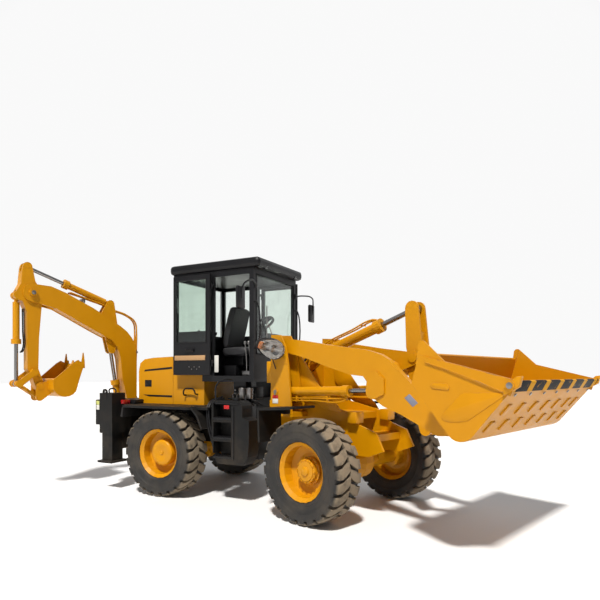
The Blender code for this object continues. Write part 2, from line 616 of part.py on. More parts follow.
def cab():
    """Cab shell with floor, pillars and sills, its roof, glass, seat and steering column."""
    z_roof = CAB_TOP
    step_x = HOOD_FRONT_X + 0.005
    outer = [(step_x, CAB_FLOOR - 0.08), (CAB_FRONT_X, CAB_FLOOR - 0.08), (CAB_FRONT_X, z_roof), (CAB_REAR_X, z_roof),
             (CAB_REAR_X, CAB_SHELF - 0.05), (step_x, CAB_SHELF - 0.05)]
    wall = CAB_WALL
    inner = [(step_x + wall, CAB_FLOOR), (CAB_FRONT_X - wall, CAB_FLOOR), (CAB_FRONT_X - wall, z_roof - wall),
             (CAB_REAR_X + wall, z_roof - wall), (CAB_REAR_X + wall, CAB_SHELF), (step_x + wall, CAB_SHELF)]
    top = z_roof - CAB_HEADER
    glazed = CAB_HALF - PILLAR
    shapes = [plate(outer, -CAB_HALF, CAB_HALF)]
    cuts = [
        plate(inner, -CAB_HALF + wall, CAB_HALF - wall),
        box(CAB_FRONT_X - wall - 0.1, CAB_FRONT_X + 0.1, -glazed, glazed, WINDSHIELD_BOTTOM, top),
        box(CAB_REAR_X - 0.1, CAB_REAR_X + wall + 0.1, -glazed, glazed, REAR_GLASS_BOTTOM, top),
        box(DOOR_HINGE_X, CAB_FRONT_X - PILLAR, -CAB_HALF - 0.1, CAB_HALF + 0.1, CAB_FLOOR + 0.001, top),
        box(CAB_REAR_X + PILLAR, DOOR_HINGE_X - PILLAR, -CAB_HALF - 0.1, CAB_HALF + 0.1, REAR_GLASS_BOTTOM, top),
    ]
    for side in (-1, 1):
        y0, y1 = sorted((side * 0.3, side * 0.42))
        shapes.append(box(-0.58, -0.28, y0, y1, RAIL_TOP + SEAT_GAP, CAB_FLOOR - 0.06))
    for side in (-1, 1):
        hinge_y = side * (CAB_HALF + DOOR_GAP + DOOR_THICK)
        for z in DOOR_KNUCKLES:
            low, high = z + 0.05 + SEAT_GAP, z + 0.09
            shapes.append(rod((DOOR_HINGE_X, hinge_y, low), (DOOR_HINGE_X, hinge_y, high), KNUCKLE_RADIUS, 10))
            y0, y1 = sorted((hinge_y, side * (CAB_HALF - 0.02)))
            shapes.append(box(DOOR_HINGE_X - 0.008, DOOR_HINGE_X, y0, y1, low, high))
    piece("cab_frame", BLACK, shapes, cuts, parent=machine)
    piece("cab_roof", BLACK, [box(CAB_REAR_X - 0.05, CAB_FRONT_X + 0.1, -CAB_HALF - 0.04, CAB_HALF + 0.04,
                                  z_roof + SEAT_GAP, ROOF_TOP, 0.05)], parent=machine)
    glass_gap = 0.0006
    y1 = CAB_HALF - PILLAR - glass_gap
    piece("windshield", GLASS, [box(CAB_FRONT_X - 0.03, CAB_FRONT_X - 0.02, -y1, y1,
                                    WINDSHIELD_BOTTOM + glass_gap, top - glass_gap)], parent=machine)
    piece("rear_window", GLASS, [box(CAB_REAR_X + 0.02, CAB_REAR_X + 0.03, -y1, y1,
                                     REAR_GLASS_BOTTOM + glass_gap, top - glass_gap)], parent=machine)
    for name, side in (("right", -1), ("left", 1)):
        y0, y1 = sorted((side * (CAB_HALF - 0.024), side * (CAB_HALF - 0.016)))
        piece("side_window_" + name, GLASS, [box(
            CAB_REAR_X + PILLAR + glass_gap, DOOR_HINGE_X - PILLAR - glass_gap, y0, y1,
            REAR_GLASS_BOTTOM + glass_gap, top - glass_gap)], parent=machine)
    seat_cut = box(-1.1, step_x + wall + 0.005, -0.3, 0.3, CAB_FLOOR - 0.1, CAB_SHELF + SEAT_GAP)
    seat = [
        box(-0.98, -0.72, -0.16, 0.16, CAB_FLOOR + SEAT_GAP, CAB_FLOOR + 0.32, 0.02),
        box(-0.93, -0.50, -0.24, 0.24, CAB_FLOOR + 0.28, CAB_FLOOR + 0.42, 0.04),
        plate(band([(-0.86, CAB_FLOOR + 0.38), (-1.02, CAB_FLOOR + 1.0)], 0.1), -0.22, 0.22),
    ]
    piece("operator_seat", SEAT_VINYL, seat, [seat_cut], parent=machine)
    column = [
        rod((-0.26, 0, CAB_FLOOR + 0.03), (-0.36, 0, CAB_FLOOR + 0.72), 0.05, 12),
        turned([(0.19, 0.014), (0.19, -0.014), (0.16, -0.014), (0.16, 0.014)], 20, (0, 0, 0), closed=True),
        box(-0.175, 0.175, -0.012, 0.012, -0.02, 0.02),
        box(-0.34, -0.18, -0.08, 0.08, CAB_FLOOR + SEAT_GAP, CAB_FLOOR + 0.07),
    ]
    lean = Matrix.Translation((-0.365, 0, CAB_FLOOR + 0.74)) @ Matrix.Rotation(math.radians(-35), 4, "Y")
    column[1].data.transform(lean @ Matrix.Rotation(math.pi / 2, 4, "X"))
    column[2].data.transform(lean)
    piece("steering_column", BLACK, column, parent=machine)


def door(name, side, swung):
    """A door with its window cut; the right one stands open against the cab's side, the left one is shut."""
    hinge_y = side * (CAB_HALF + DOOR_GAP + DOOR_THICK)
    hinge = frame("door_" + name, (DOOR_HINGE_X, hinge_y, 0), machine)
    ahead = -1 if swung else 1
    y0, y1 = sorted((hinge_y, hinge_y - side * ahead * DOOR_THICK))
    x0, x1 = sorted((DOOR_HINGE_X + ahead * 0.014, DOOR_HINGE_X + ahead * DOOR_WIDTH))
    leaf = box(x0, x1, y0, y1, DOOR_BOTTOM, DOOR_TOP, 0.006)
    shapes = [leaf]
    for z in DOOR_KNUCKLES:
        shapes.append(rod((DOOR_HINGE_X, hinge_y, z), (DOOR_HINGE_X, hinge_y, z + 0.05), KNUCKLE_RADIUS, 10))
        hx0, hx1 = sorted((DOOR_HINGE_X, DOOR_HINGE_X + ahead * 0.05))
        hy0, hy1 = sorted((hinge_y, hinge_y - side * ahead * 0.008))
        shapes.append(box(hx0, hx1, hy0, hy1, z + 0.005, z + 0.045))
    window = box(x0 + 0.06, x1 - 0.06, y0 - 0.05, y1 + 0.05, DOOR_GLASS_BOTTOM, DOOR_TOP - 0.07)
    piece("cab_door_" + name, BLACK, shapes, [window], parent=hinge)
    gap = 0.0006
    pane = (y0 + y1) / 2
    piece("door_glass_" + name, GLASS, [box(x0 + 0.06 + gap, x1 - 0.06 - gap, pane - 0.004, pane + 0.004,
                                            DOOR_GLASS_BOTTOM + gap, DOOR_TOP - 0.07 - gap)], parent=hinge)


def front_frame():
    """Front frame: hinge block, side plates with the nose, cross plates and the two twin-plate towers."""
    shapes = []
    side_plate = [(0.2, 0.56), (0.5, 0.56), (0.9, 0.72), (1.72, 0.72), (1.92, 0.80), (1.82, 1.0), (1.58, 1.08), (1.42, 1.22),
                  (0.75, 1.36), (0.2, 1.36)]
    tower = [(0.36, 1.18), (0.74, 1.18), (0.68, 1.8), (0.63, 2.02), (0.54, 2.17), (0.37, 2.18)]
    inner_in, inner_out = TOWER_INNER_Y, TOWER_INNER_Y + TOWER_PLATE
    outer_in, outer_out = TOWER_OUTER_Y - TOWER_PLATE, TOWER_OUTER_Y
    for side in (-1, 1):
        shapes.append(cheek(side_plate, side, 0.30, 0.33))
        shapes.append(cheek(tower, side, inner_in, inner_out))
        shapes.append(cheek(tower, side, outer_in, outer_out))
        y0, y1 = sorted((side * 0.31, side * (TOWER_OUTER_Y - 0.003)))
        shapes.append(box(0.34, 0.76, y0, y1, 1.14, 1.20))
        shapes.append(box(0.34, 0.37, y0, y1, 1.14, 1.34))
        for x, z, radius, half in ((*ARM_PIVOT, 0.06, ARM_THICK / 2), (*LIFT_BASE, 0.045, LIFT_EYE_HALF)):
            shapes.append(collar(x, z, side, inner_in - 0.012, ARM_Y - half - SEAT_GAP, radius))
            shapes.append(collar(x, z, side, ARM_Y + half + SEAT_GAP, outer_out + 0.012, radius))
        shapes.append(cheek(
            [(0.36, 1.68), (0.5, 1.75)] + arc(TILT_BASE, 0.085, -60, 90, 5) + [(0.36, 1.97)], side, 0.085, 0.11))
        shapes.append(collar(*TILT_BASE, side, TILT_PIN_HALF + SEAT_GAP, 0.12, 0.045))
        shapes.append(box(1.20, 1.42, *sorted((side * 0.30, side * 0.42)), RAIL_BOTTOM, 0.8))
    shapes.append(box(0.17, 0.23, -0.326, 0.326, 0.552, 1.35))
    shapes.append(box(0.9, 1.38, -0.32, 0.32, 1.12, 1.2))
    shapes.append(box(1.46, 1.73, -0.32, 0.32, 0.88, 0.96))
    shapes.append(box(0.34, 0.40, -TOWER_INNER_Y - 0.01, TOWER_INNER_Y + 0.01, 1.14, 1.98))
    lug = [(0.2, 0.2), (0.05, 0.1)] + arc((0, 0), 0.09, 90, 180, 4)
    for z in (HINGE_LOW + HINGE_LUG_THICK + SEAT_GAP, HINGE_HIGH - 0.05 - SEAT_GAP):
        shapes.append(flat(mirrored(lug[:-1]), z, z + 0.05))
    hole = rod((0, 0, 0.5), (0, 0, 1.1), HINGE_PIN_RADIUS + PIN_GAP, 16)
    piece("front_frame", YELLOW, shapes, [hole], parent=steering)


def front_fender(name, side):
    """A flat-topped front fender with its rear panel, carried on a bracket from the tower."""
    top = band([(1.2, 1.31), (0.98, 1.29), (0.60, 1.27), (0.62, 0.86)], 0.03)
    shapes = [cheek(top, side, 0.68, FENDER_HALF)]
    y0, y1 = sorted((side * (TOWER_OUTER_Y + SEAT_GAP), side * 0.69))
    shapes.append(box(0.62, 0.72, y0, y1, 1.18, 1.26))
    piece("front_fender_" + name, BLACK, shapes, parent=steering)


def headlamp(name, side):
    """A slanted lamp on its bracket beside the tower."""
    lamp = box(-0.06, 0.05, -0.13, 0.13, -0.085, 0.085, 0.03)
    turn = Matrix.Translation((0.53, side * 0.77, 2.0)) @ Matrix.Rotation(side * math.radians(12), 4, "X")
    lamp.data.transform(turn @ Matrix.Rotation(math.radians(20), 4, "Y"))
    y0, y1 = sorted((side * (TOWER_OUTER_Y + SEAT_GAP), side * 0.7))
    piece("headlamp_" + name, LAMP, [lamp, box(0.50, 0.54, y0, y1, 1.87, 1.955)], parent=steering)


def strut(a, b, half_width, side, start, end):
    """A straight bar between two cross pins, on one side of the centre plane."""
    a, b = Vector(a), Vector(b)
    along = (b - a).normalized()
    across = Vector((-along.y, along.x)) * half_width
    return cheek([tuple(a - across), tuple(b - across), tuple(b + across), tuple(a + across)], side, start, end)


def strap(a, a_radius, b, b_radius, half_width):
    """Outline of a flat link: two round ends and a narrower waist."""
    along = Vector(b) - Vector(a)
    heading = math.degrees(math.atan2(along.y, along.x))
    a_turn = math.degrees(math.asin(half_width / a_radius))
    b_turn = math.degrees(math.asin(half_width / b_radius))
    outline = arc(a, a_radius, heading + a_turn, heading + 360 - a_turn, 9)
    return outline + arc(b, b_radius, heading + 180 + b_turn, heading + 540 - b_turn, 9)


def loader():
    """Lift arms with their cross tube, cylinders, rocker, link and bucket."""
    lift = joint("arm_lift", steering, *ARM_PIVOT)
    half = ARM_THICK / 2
    arm_side = arc(ARM_PIVOT, 0.10, 120, 240, 6)
    arm_side += [(0.62, 1.94), (0.9, 1.875), (1.25, 1.765), (1.60, 1.67), (1.79, 1.65), (1.85, 1.58)]
    arm_side += arc(LIFT_EYE, 0.09, 180, 280, 4)
    arm_side += [(2.05, 1.33), (2.28, 1.25), (2.70, 1.06)] + arc(BUCKET_PIVOT, 0.08, -90, 75, 7)
    arm_side += [(2.72, 1.24), (2.60, 1.38), (2.44, 1.54), (2.27, 1.70), (2.13, 1.83), (2.02, 1.89), (1.82, 1.945),
                 (1.31, 2.015), (0.82, 2.095), (0.60, 2.12)]
    fork = arc(LIFT_EYE, 0.09, 180, 300, 5) + [(2.08, 1.46), (2.08, 1.62), (1.99, 1.70), (1.87, 1.70)]
    eye_x, eye_z = LIFT_EYE
    swept = 0.85 * LIFT_BORE + LIFT_DRIFT + SIDE_GAP
    slot = [(1.4, eye_z - 0.2), (eye_x + 0.5 * swept, eye_z - 0.2), (eye_x + 0.8 * swept, eye_z)]
    slot += arc((eye_x, eye_z), swept, 40, 90, 4) + [(1.4, eye_z + 1.1 * swept)]
    slot_half = LIFT_EYE_HALF + SEAT_GAP
    shapes = []
    cuts = []
    for side in (-1, 1):
        shapes.append(cheek(arm_side, side, ARM_Y - half, ARM_Y + half))
        shapes.append(cheek(fork, side, ARM_Y - slot_half - 0.025, ARM_Y + slot_half + 0.025))
        cuts.append(cheek(slot, side, ARM_Y - slot_half, ARM_Y + slot_half))
        shapes.append(cheek([(1.9, 1.67)] + arc(ROCKER_PIVOT, 0.085, -60, 110, 6) + [(1.9, 1.815)], side, 0.095, 0.12))
        shapes.append(collar(*ROCKER_PIVOT, side, ROCKER_Y + ROCKER_PLATE / 2 + SEAT_GAP, 0.135, 0.055))
    tube_at = (1.92, 1.74)
    shapes.append(pin(*tube_at, -ARM_Y, ARM_Y, 0.085, 16))
    piece("lift_arm", YELLOW, shapes, cuts, parent=lift)
    for name, side in (("right", -1), ("left", 1)):
        actuator("lift_" + name, steering, LIFT_BASE, LIFT_EYE, LIFT_BORE, LIFT_ROD, LIFT_EYE_HALF, side * ARM_Y,
                 head=0.012, reach=0.76, retract=LIFT_RETRACT)
    tilt_base = joint("tilt_base", steering, *TILT_BASE)
    piece("tilt_base_pin", STEEL, [pin(*TILT_BASE, -TILT_PIN_HALF, TILT_PIN_HALF, TILT_PIN, 20)], parent=tilt_base)
    eye_half = ROCKER_Y - ROCKER_PLATE / 2 - SEAT_GAP
    actuator("tilt", tilt_base, TILT_BASE, ROCKER_TOP, TILT_BORE, TILT_ROD, eye_half, reach=0.72, bush=TILT_PIN,
             retract=TILT_RETRACT)
    rocker_joint = joint("rocker", lift, *ROCKER_PIVOT)
    outline = arc(ROCKER_TOP, 0.085, 0, 180, 8) + [(2.06, 1.98)] + arc(ROCKER_PIVOT, 0.11, 150, 200, 3)
    outline += [(2.12, 1.5)] + arc(ROCKER_LOW, 0.07, 190, 370, 8)
    outline += [(2.32, 1.5)] + arc(ROCKER_PIVOT, 0.13, -30, 40, 4) + [(2.25, 2.1)]
    shapes = [cheek(outline, side, ROCKER_Y - ROCKER_PLATE / 2, ROCKER_Y + ROCKER_PLATE / 2) for side in (-1, 1)]
    shapes.append(pin(*ROCKER_PIVOT, -ROCKER_Y, ROCKER_Y, 0.07))
    shapes.append(box(2.2, 2.225, -ROCKER_Y, ROCKER_Y, 1.95, 2.15))
    piece("rocker", YELLOW, shapes, parent=rocker_joint)
    link_joint = joint("tilt_link", rocker_joint, *ROCKER_LOW)
    bar = strut(ROCKER_LOW, LINK_EAR, 0.045, 1, -LINK_HALF, LINK_HALF)
    piece("tilt_link", YELLOW, [
        bar, pin(*ROCKER_LOW, -eye_half, eye_half, 0.06, 16), pin(*LINK_EAR, -LINK_HALF, LINK_HALF, 0.06, 16),
    ], parent=link_joint)
    tilt = joint("bucket_tilt", lift, *BUCKET_PIVOT)
    heel = arc(HEEL_CENTRE, HEEL_RADIUS, 222, 318, 6)
    run = [BUCKET_CREST, BUCKET_KINK] + heel + [BUCKET_LIP]
    body, room = trough(run, [], BUCKET_SHEET, BUCKET_HALF, BUCKET_SHEET)
    shapes = [body]
    for side in (-1, 1):
        ear = [(2.93, 1.40)] + arc(BUCKET_PIVOT, 0.075, 150, 290, 6) + [(3.14, 1.145)]
        for start, end in ((ARM_Y - half - SIDE_GAP - 0.025, ARM_Y - half - SIDE_GAP),
                           (ARM_Y + half + SIDE_GAP, ARM_Y + half + SIDE_GAP + 0.025)):
            shapes.append(cheek(ear, side, start, end))
        shapes.append(collar(*BUCKET_PIVOT, side, ARM_Y - half - SIDE_GAP - 0.035, ARM_Y - half - SEAT_GAP, 0.05))
        shapes.append(collar(*BUCKET_PIVOT, side, ARM_Y + half + SEAT_GAP, ARM_Y + half + SIDE_GAP + 0.035, 0.05))
        ear = [(2.77, 1.60)] + arc(LINK_EAR, 0.065, 120, 260, 6) + [(3.0, 1.32), (2.96, 1.36)]
        shapes.append(cheek(ear, side, LINK_HALF + SIDE_GAP, LINK_HALF + SIDE_GAP + 0.025))
        strip = [(2.89, 1.83), (3.70, 1.622), (3.655, 1.50), (2.90, 1.785)]
        shapes.append(cheek(strip, side, BUCKET_HALF - 0.01, BUCKET_HALF + 0.012))
        shapes.append(collar(3.655, 1.585, side, BUCKET_HALF - 0.008, BUCKET_HALF + 0.035, 0.04, 12))
        lug = [(2.80, 1.76), (2.826, 1.95)] + arc((2.862, 1.94), 0.034, 160, 40, 4) + [(3.083, 1.781), (3.04, 1.72)]
        shapes.append(cheek(lug, side, BUCKET_HALF - BUCKET_SHEET - 0.004, BUCKET_HALF - 0.003))
    piece("loader_bucket", YELLOW, shapes, [room], parent=tilt)


def backhoe():
    """Swing post, boom, dipper, bucket linkage and bucket, with their cylinders."""
    post_low = SWING_LUG_LOW + SWING_LUG_THICK + SEAT_GAP
    post_high = SWING_LUG_HIGH - SEAT_GAP
    post = [(-0.05, post_low + 0.02), (-0.05, post_high - 0.02)] + arc(BOOM_FOOT, 0.085, 80, 210, 6)
    post += [(-0.37, 0.95)] + arc(BOOM_CYL_BASE, 0.07, 120, 270, 6) + [(-0.2, post_low + 0.02)]
    shapes = [rod((0, 0, post_low), (0, 0, post_high), 0.085, 16)]
    shapes.append(box(-0.13, -0.04, -0.14, 0.14, post_low + 0.02, post_high - 0.02))
    for side in (-1, 1):
        shapes.append(cheek(post, side, POST_INNER, POST_INNER + 0.03))
        shapes.append(collar(*BOOM_FOOT, side, BOOM_FOOT_HALF + SEAT_GAP, POST_INNER + 0.05, 0.05))
        shapes.append(collar(*BOOM_CYL_BASE, side, BOOM_EYE_HALF + SEAT_GAP, POST_INNER + 0.05, 0.04))
    hole = rod((0, 0, 0.6), (0, 0, 1.3), HINGE_PIN_RADIUS + PIN_GAP, 16)
    piece("swing_post", YELLOW, shapes, [hole], parent=swing)

    boom_joint = joint("boom", swing, *BOOM_FOOT)
    back = [(-0.192, 1.3), (-0.192, 1.95), (-0.215, 2.15), (-0.275, 2.26), (-0.36, 2.36), (-0.47, 2.44),
            (-0.68, 2.56), (-0.92, 2.69), (-1.34, 2.88)]
    front = [(-1.47, 2.63), (-0.9, 2.345), (-0.75, 2.275), (-0.62, 2.215), (-0.53, 2.11), (-0.47, 1.92),
             (-0.44, 1.6), (-0.36, 1.28)]
    side_plate = arc(BOOM_FOOT, 0.08, 200, 350, 5) + back + [(-1.55, 2.95)]
    side_plate += arc(BOOM_TIP, 0.13, 75, 250, 8) + front
    inner = BOOM_HALF - BOOM_PLATE
    shapes = []
    for side in (-1, 1):
        shapes.append(cheek(side_plate, side, inner, BOOM_HALF))
        lug = [(-0.52, 2.22)] + arc(BOOM_CYL_EYE, 0.06, 340, 200, 5) + [(-0.72, 2.30)]
        shapes.append(cheek(lug, side, BOOM_EYE_HALF + SEAT_GAP, BOOM_EYE_HALF + 0.025))
        lug = [(-0.50, 2.42)] + arc(DIPPER_CYL_BASE, 0.06, 20, 160, 5) + [(-0.80, 2.58)]
        shapes.append(cheek(lug, side, DIPPER_EYE_HALF + SEAT_GAP, DIPPER_EYE_HALF + 0.025))
        shapes.append(collar(*BOOM_TIP, side, DIPPER_HALF + SEAT_GAP, BOOM_HALF + 0.03, 0.055))
    depth = 0.014
    shapes.append(plate(band([(x - 0.004, z - 0.004) for x, z in back], depth), -inner - 0.002, inner + 0.002))
    shapes.append(plate(band([(x + 0.004, z + 0.006) for x, z in front], depth), -inner - 0.002, inner + 0.002))
    shapes.append(pin(*BOOM_FOOT, -BOOM_FOOT_HALF, BOOM_FOOT_HALF, 0.075, 16))
    piece("boom", YELLOW, shapes, parent=boom_joint)
    actuator("boom", swing, BOOM_CYL_BASE, BOOM_CYL_EYE, BOOM_BORE, 0.03, BOOM_EYE_HALF, reach=0.62,
             retract=BOOM_RETRACT)

    dipper_joint = joint("dipper", boom_joint, *BOOM_TIP)
    shell = [(-1.69, 2.45), (-1.71, 2.2), (-1.72, 1.75), (-1.655, 1.57)] + arc(DIPPER_PIN, 0.06, 40, -140, 6)
    shell += [(-1.80, 1.62), (-1.865, 1.74), (-1.87, 2.55), (-1.93, 2.70)]
    shell += arc(DIG_CYL_BASE, 0.055, 250, 110, 5) + [(-1.95, 2.95), (-1.93, 3.17)]
    shell += arc(DIPPER_CYL_EYE, 0.06, 160, 20, 5) + [(-1.76, 3.0), (-1.70, 2.9), (-1.67, 2.7)]
    shapes = [plate(shell, -DIPPER_HALF, DIPPER_HALF)]
    cuts = [
        plate(arc(DIPPER_CYL_EYE, 0.85 * DIPPER_BORE + DIPPER_DRIFT + SIDE_GAP, 160, 300, 8)
              + [(-1.5, 3.1), (-1.5, 3.3), (-1.93, 3.3)],
              -DIPPER_EYE_HALF - SEAT_GAP, DIPPER_EYE_HALF + SEAT_GAP),
        plate(arc(DIG_CYL_BASE, 0.075, 120, -60, 8) + [(-1.93, 2.5), (-2.1, 2.5), (-2.1, 2.9)],
              -DIG_EYE_HALF - SEAT_GAP, DIG_EYE_HALF + SEAT_GAP),
    ]
    piece("dipper", YELLOW, shapes, cuts, parent=dipper_joint)
    actuator("dipper", boom_joint, DIPPER_CYL_BASE, DIPPER_CYL_EYE, DIPPER_BORE, 0.028, DIPPER_EYE_HALF, reach=0.58,
             neck=0.08, retract=DIPPER_RETRACT)
    actuator("dig", dipper_joint, DIG_CYL_BASE, DIG_ROD_PIN, DIG_BORE, 0.026, DIG_EYE_HALF, reach=0.55, neck=0.095,
             retract=DIG_RETRACT)

    lever_joint = joint("dig_lever", dipper_joint, *LEVER_PIVOT)
    shapes = []
    for side in (-1, 1):
        shapes.append(strut(LEVER_PIVOT, DIG_ROD_PIN, 0.04, side, LEVER_INNER, LEVER_INNER + 0.02))
        shapes.append(collar(*LEVER_PIVOT, side, DIPPER_HALF + SEAT_GAP, LEVER_INNER + 0.02, 0.05))
        shapes.append(collar(*DIG_ROD_PIN, side, LEVER_INNER, LEVER_INNER + 0.02, 0.05))
    middle = Vector(LEVER_PIVOT).lerp(Vector(DIG_ROD_PIN), 0.56)
    shapes.append(pin(middle.x, middle.y, -LEVER_INNER - 0.01, LEVER_INNER + 0.01, 0.016, 8))
    piece("dig_lever", YELLOW, shapes, parent=lever_joint)

    link_joint = joint("dig_link", lever_joint, *DIG_ROD_PIN)
    shapes = []
    for side in (-1, 1):
        shapes.append(cheek(strap(DIG_ROD_PIN, 0.045, DIG_EAR, 0.038, 0.02), side, LINK_INNER, LINK_INNER + 0.022))
        shapes.append(collar(*DIG_ROD_PIN, side, DIG_EYE_HALF + SEAT_GAP, LEVER_INNER - SEAT_GAP, 0.038))
    middle = Vector(DIG_ROD_PIN).lerp(Vector(DIG_EAR), 0.55)
    shapes.append(pin(middle.x, middle.y, -LINK_INNER - 0.01, LINK_INNER + 0.01, 0.014, 8))
    piece("dig_link", YELLOW, shapes, parent=link_joint)

    dig = joint("dig_bucket", dipper_joint, *DIPPER_PIN)
    profile = [(-1.60, 1.60), (-1.60, 1.47)] + arc((-1.43, 1.53), 0.185, 205, 325, 6)
    profile += [(-1.237, 1.576), (-1.155, 1.83)]
    mouth = [(-1.255, 1.88), (-1.32, 1.84), (-1.52, 1.66)]
    body, room = trough(profile, mouth, DIG_SHEET, DIG_BUCKET_HALF, DIG_SHEET)
    shapes = [body]
    ear = [(-1.592, 1.58)] + arc(DIPPER_PIN, 0.06, 60, 180, 5) + arc(DIG_EAR, 0.05, 180, 300, 5) + [(-1.55, 1.40)]
    for side in (-1, 1):
        shapes.append(cheek(ear, side, EAR_INNER, EAR_INNER + 0.022))
        shapes.append(collar(*DIPPER_PIN, side, DIPPER_HALF + SEAT_GAP, EAR_INNER + 0.03, 0.045))
    edge = DIG_BUCKET_HALF - TOOTH_HALF - 0.004
    for i in range(DIG_TEETH):
        y = -edge + 2 * edge * i / (DIG_TEETH - 1)
        tooth = [(-1.202, 1.763), (-1.147, 1.763), (-1.15, 1.86), (-1.166, 1.99), (-1.178, 1.99), (-1.197, 1.863)]
        shapes.append(plate(tooth, y - TOOTH_HALF, y + TOOTH_HALF))
    piece("dig_bucket", YELLOW, shapes, [room], parent=dig)


rear_frame()
for label, hand in (("right", -1), ("left", 1)):
    stabilizer(label, hand)
    tank(label, hand)
    front_fender(label, hand)
    headlamp(label, hand)
    wheel("rear_" + label, machine, REAR_AXLE_X, hand)
    wheel("front_" + label, steering, FRONT_AXLE_X, hand)
axle("rear_axle", machine, REAR_AXLE_X)
axle("front_axle", steering, FRONT_AXLE_X)
body_rear()
cab()
door("right", -1, True)
door("left", 1, False)
front_frame()
loader()
backhoe()

bpy.context.view_layer.update()
corners = [body.matrix_world @ Vector(corner) for body in parts.objects if body.type == "MESH"
           for corner in body.bound_box]
middle = [(min(c[i] for c in corners) + max(c[i] for c in corners)) / 2 for i in range(2)]
machine.location = (-middle[0], -middle[1], -min(c.z for c in corners))
bpy.context.view_layer.update()
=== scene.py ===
"""Looks of the articulated backhoe loader: its materials, tyres, hoses, lamps, seat and small fittings."""
import json
import math

import bpy
from mathutils import Matrix, Vector


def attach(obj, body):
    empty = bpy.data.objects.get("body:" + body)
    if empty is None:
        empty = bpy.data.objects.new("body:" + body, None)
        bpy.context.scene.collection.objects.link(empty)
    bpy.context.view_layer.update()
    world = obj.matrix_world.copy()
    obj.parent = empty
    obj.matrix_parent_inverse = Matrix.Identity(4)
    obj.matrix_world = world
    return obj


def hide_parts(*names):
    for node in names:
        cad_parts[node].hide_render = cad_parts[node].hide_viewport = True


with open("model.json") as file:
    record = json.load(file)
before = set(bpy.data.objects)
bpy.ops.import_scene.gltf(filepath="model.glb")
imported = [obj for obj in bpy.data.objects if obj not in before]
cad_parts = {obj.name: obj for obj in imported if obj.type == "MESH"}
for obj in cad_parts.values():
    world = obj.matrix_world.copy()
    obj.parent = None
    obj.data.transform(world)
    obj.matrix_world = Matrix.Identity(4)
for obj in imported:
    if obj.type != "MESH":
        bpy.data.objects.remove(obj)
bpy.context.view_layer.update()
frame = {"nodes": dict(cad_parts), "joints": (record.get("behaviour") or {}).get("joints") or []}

# Places: the machine's own axes start at the steering pivot, on the ground
STEER_REST = math.radians(-16.35)
SWING_REST = math.radians(74.0)
SWING_PIN = (-2.75, 0.1)
TYRE_RADIUS = 0.5875
TYRE_HALF = 0.205
TRACK_HALF = 0.8725
REAR_AXLE_X = -1.4026
FRONT_AXLE_X = 1.306
LUGS = 24
HOOD_SIDE = 0.55
HOOD_REAR = -2.226
CAB_SIDE = 0.60
CAB_FLOOR = 1.651
DOOR_FACE = -0.682
GLASS_FRONT = -0.133
ROOF_LAMP_Z = 3.145
TANK_FACE = 0.952
STABILIZER_Y = 0.96
TOWER_FACE = 0.602
ARM_Y = 0.5
BUCKET_SIDE = 1.097
SIDES = (("right", -1), ("left", 1))

pivot = Vector([joint for joint in frame["joints"] if joint["name"] == "steering"][0]["pos_m"])
origin = Vector((pivot.x, pivot.y, 0))
REAR = Matrix.Translation(origin)
FRONT = REAR @ Matrix.Rotation(STEER_REST, 4, "Z")
REACH = REAR @ Matrix.Translation((*SWING_PIN, 0)) @ Matrix.Rotation(SWING_REST, 4, "Z")
FRONT_BODIES = {"front", "lift_arm", "lift_right_barrel", "lift_left_barrel", "tilt_barrel", "loader_bucket"}
REACH_BODIES = {"swing_post", "boom", "dipper"}
MIRROR = Matrix.Scale(-1, 4, (0, 1, 0))

# Viewpoint fitted to the photograph, which is 600 pixels wide
PHOTO_WIDTH = 600
FOCAL_PIXELS = 520.61
SHIFT_PIXELS = 74.07
SENSOR = 36
CAMERA_PLACE = (3.6042, -6.4750, 1.6748)
CAMERA_HEADING = math.radians(117.362)


def make_camera():
    """A level camera at the photograph's viewpoint."""
    lens = bpy.data.cameras.new("photo_camera")
    lens.sensor_width = SENSOR
    lens.lens = FOCAL_PIXELS / PHOTO_WIDTH * SENSOR
    lens.shift_y = SHIFT_PIXELS / PHOTO_WIDTH
    lens.clip_end = 300
    made = bpy.data.objects.new("photo_camera", lens)
    bpy.context.scene.collection.objects.link(made)
    made.location = origin + Vector(CAMERA_PLACE)
    made.rotation_euler = (math.pi / 2, 0, CAMERA_HEADING - math.pi / 2)
    bpy.context.scene.camera = made


make_camera()


# Modelling steps

def clear_selection():
    """Leaves edit mode and selects nothing."""
    if bpy.context.object and bpy.context.object.mode != "OBJECT":
        bpy.ops.object.mode_set(mode="OBJECT")
    bpy.ops.object.select_all(action="DESELECT")


def only(piece):
    """Makes one object the only one selected."""
    clear_selection()
    piece.select_set(True)
    bpy.context.view_layer.objects.active = piece


def tidy(piece):
    """Merges doubles and points all faces outward."""
    only(piece)
    bpy.ops.object.mode_set(mode="EDIT")
    bpy.ops.mesh.select_all(action="SELECT")
    bpy.ops.mesh.remove_doubles(threshold=1e-5)
    bpy.ops.mesh.normals_make_consistent(inside=False)
    bpy.ops.object.mode_set(mode="OBJECT")
    return piece


def round_edges(piece, width, segments=2, angle=30):
    """Rounds the sharp edges with an applied bevel."""
    only(piece)
    soft = piece.modifiers.new("soft_edges", "BEVEL")
    soft.width = width
    soft.segments = segments
    soft.limit_method = "ANGLE"
    soft.angle_limit = math.radians(angle)
    bpy.ops.object.modifier_apply(modifier=soft.name)
    return piece


def box_between(low, high):
    """A plain box between two corners, the start of a block or a cushion."""
    clear_selection()
    bpy.ops.mesh.primitive_cube_add(size=1, location=(low + high) / 2)
    piece = bpy.context.object
    piece.scale = high - low
    bpy.ops.object.transform_apply(location=True, rotation=True, scale=True)
    return piece


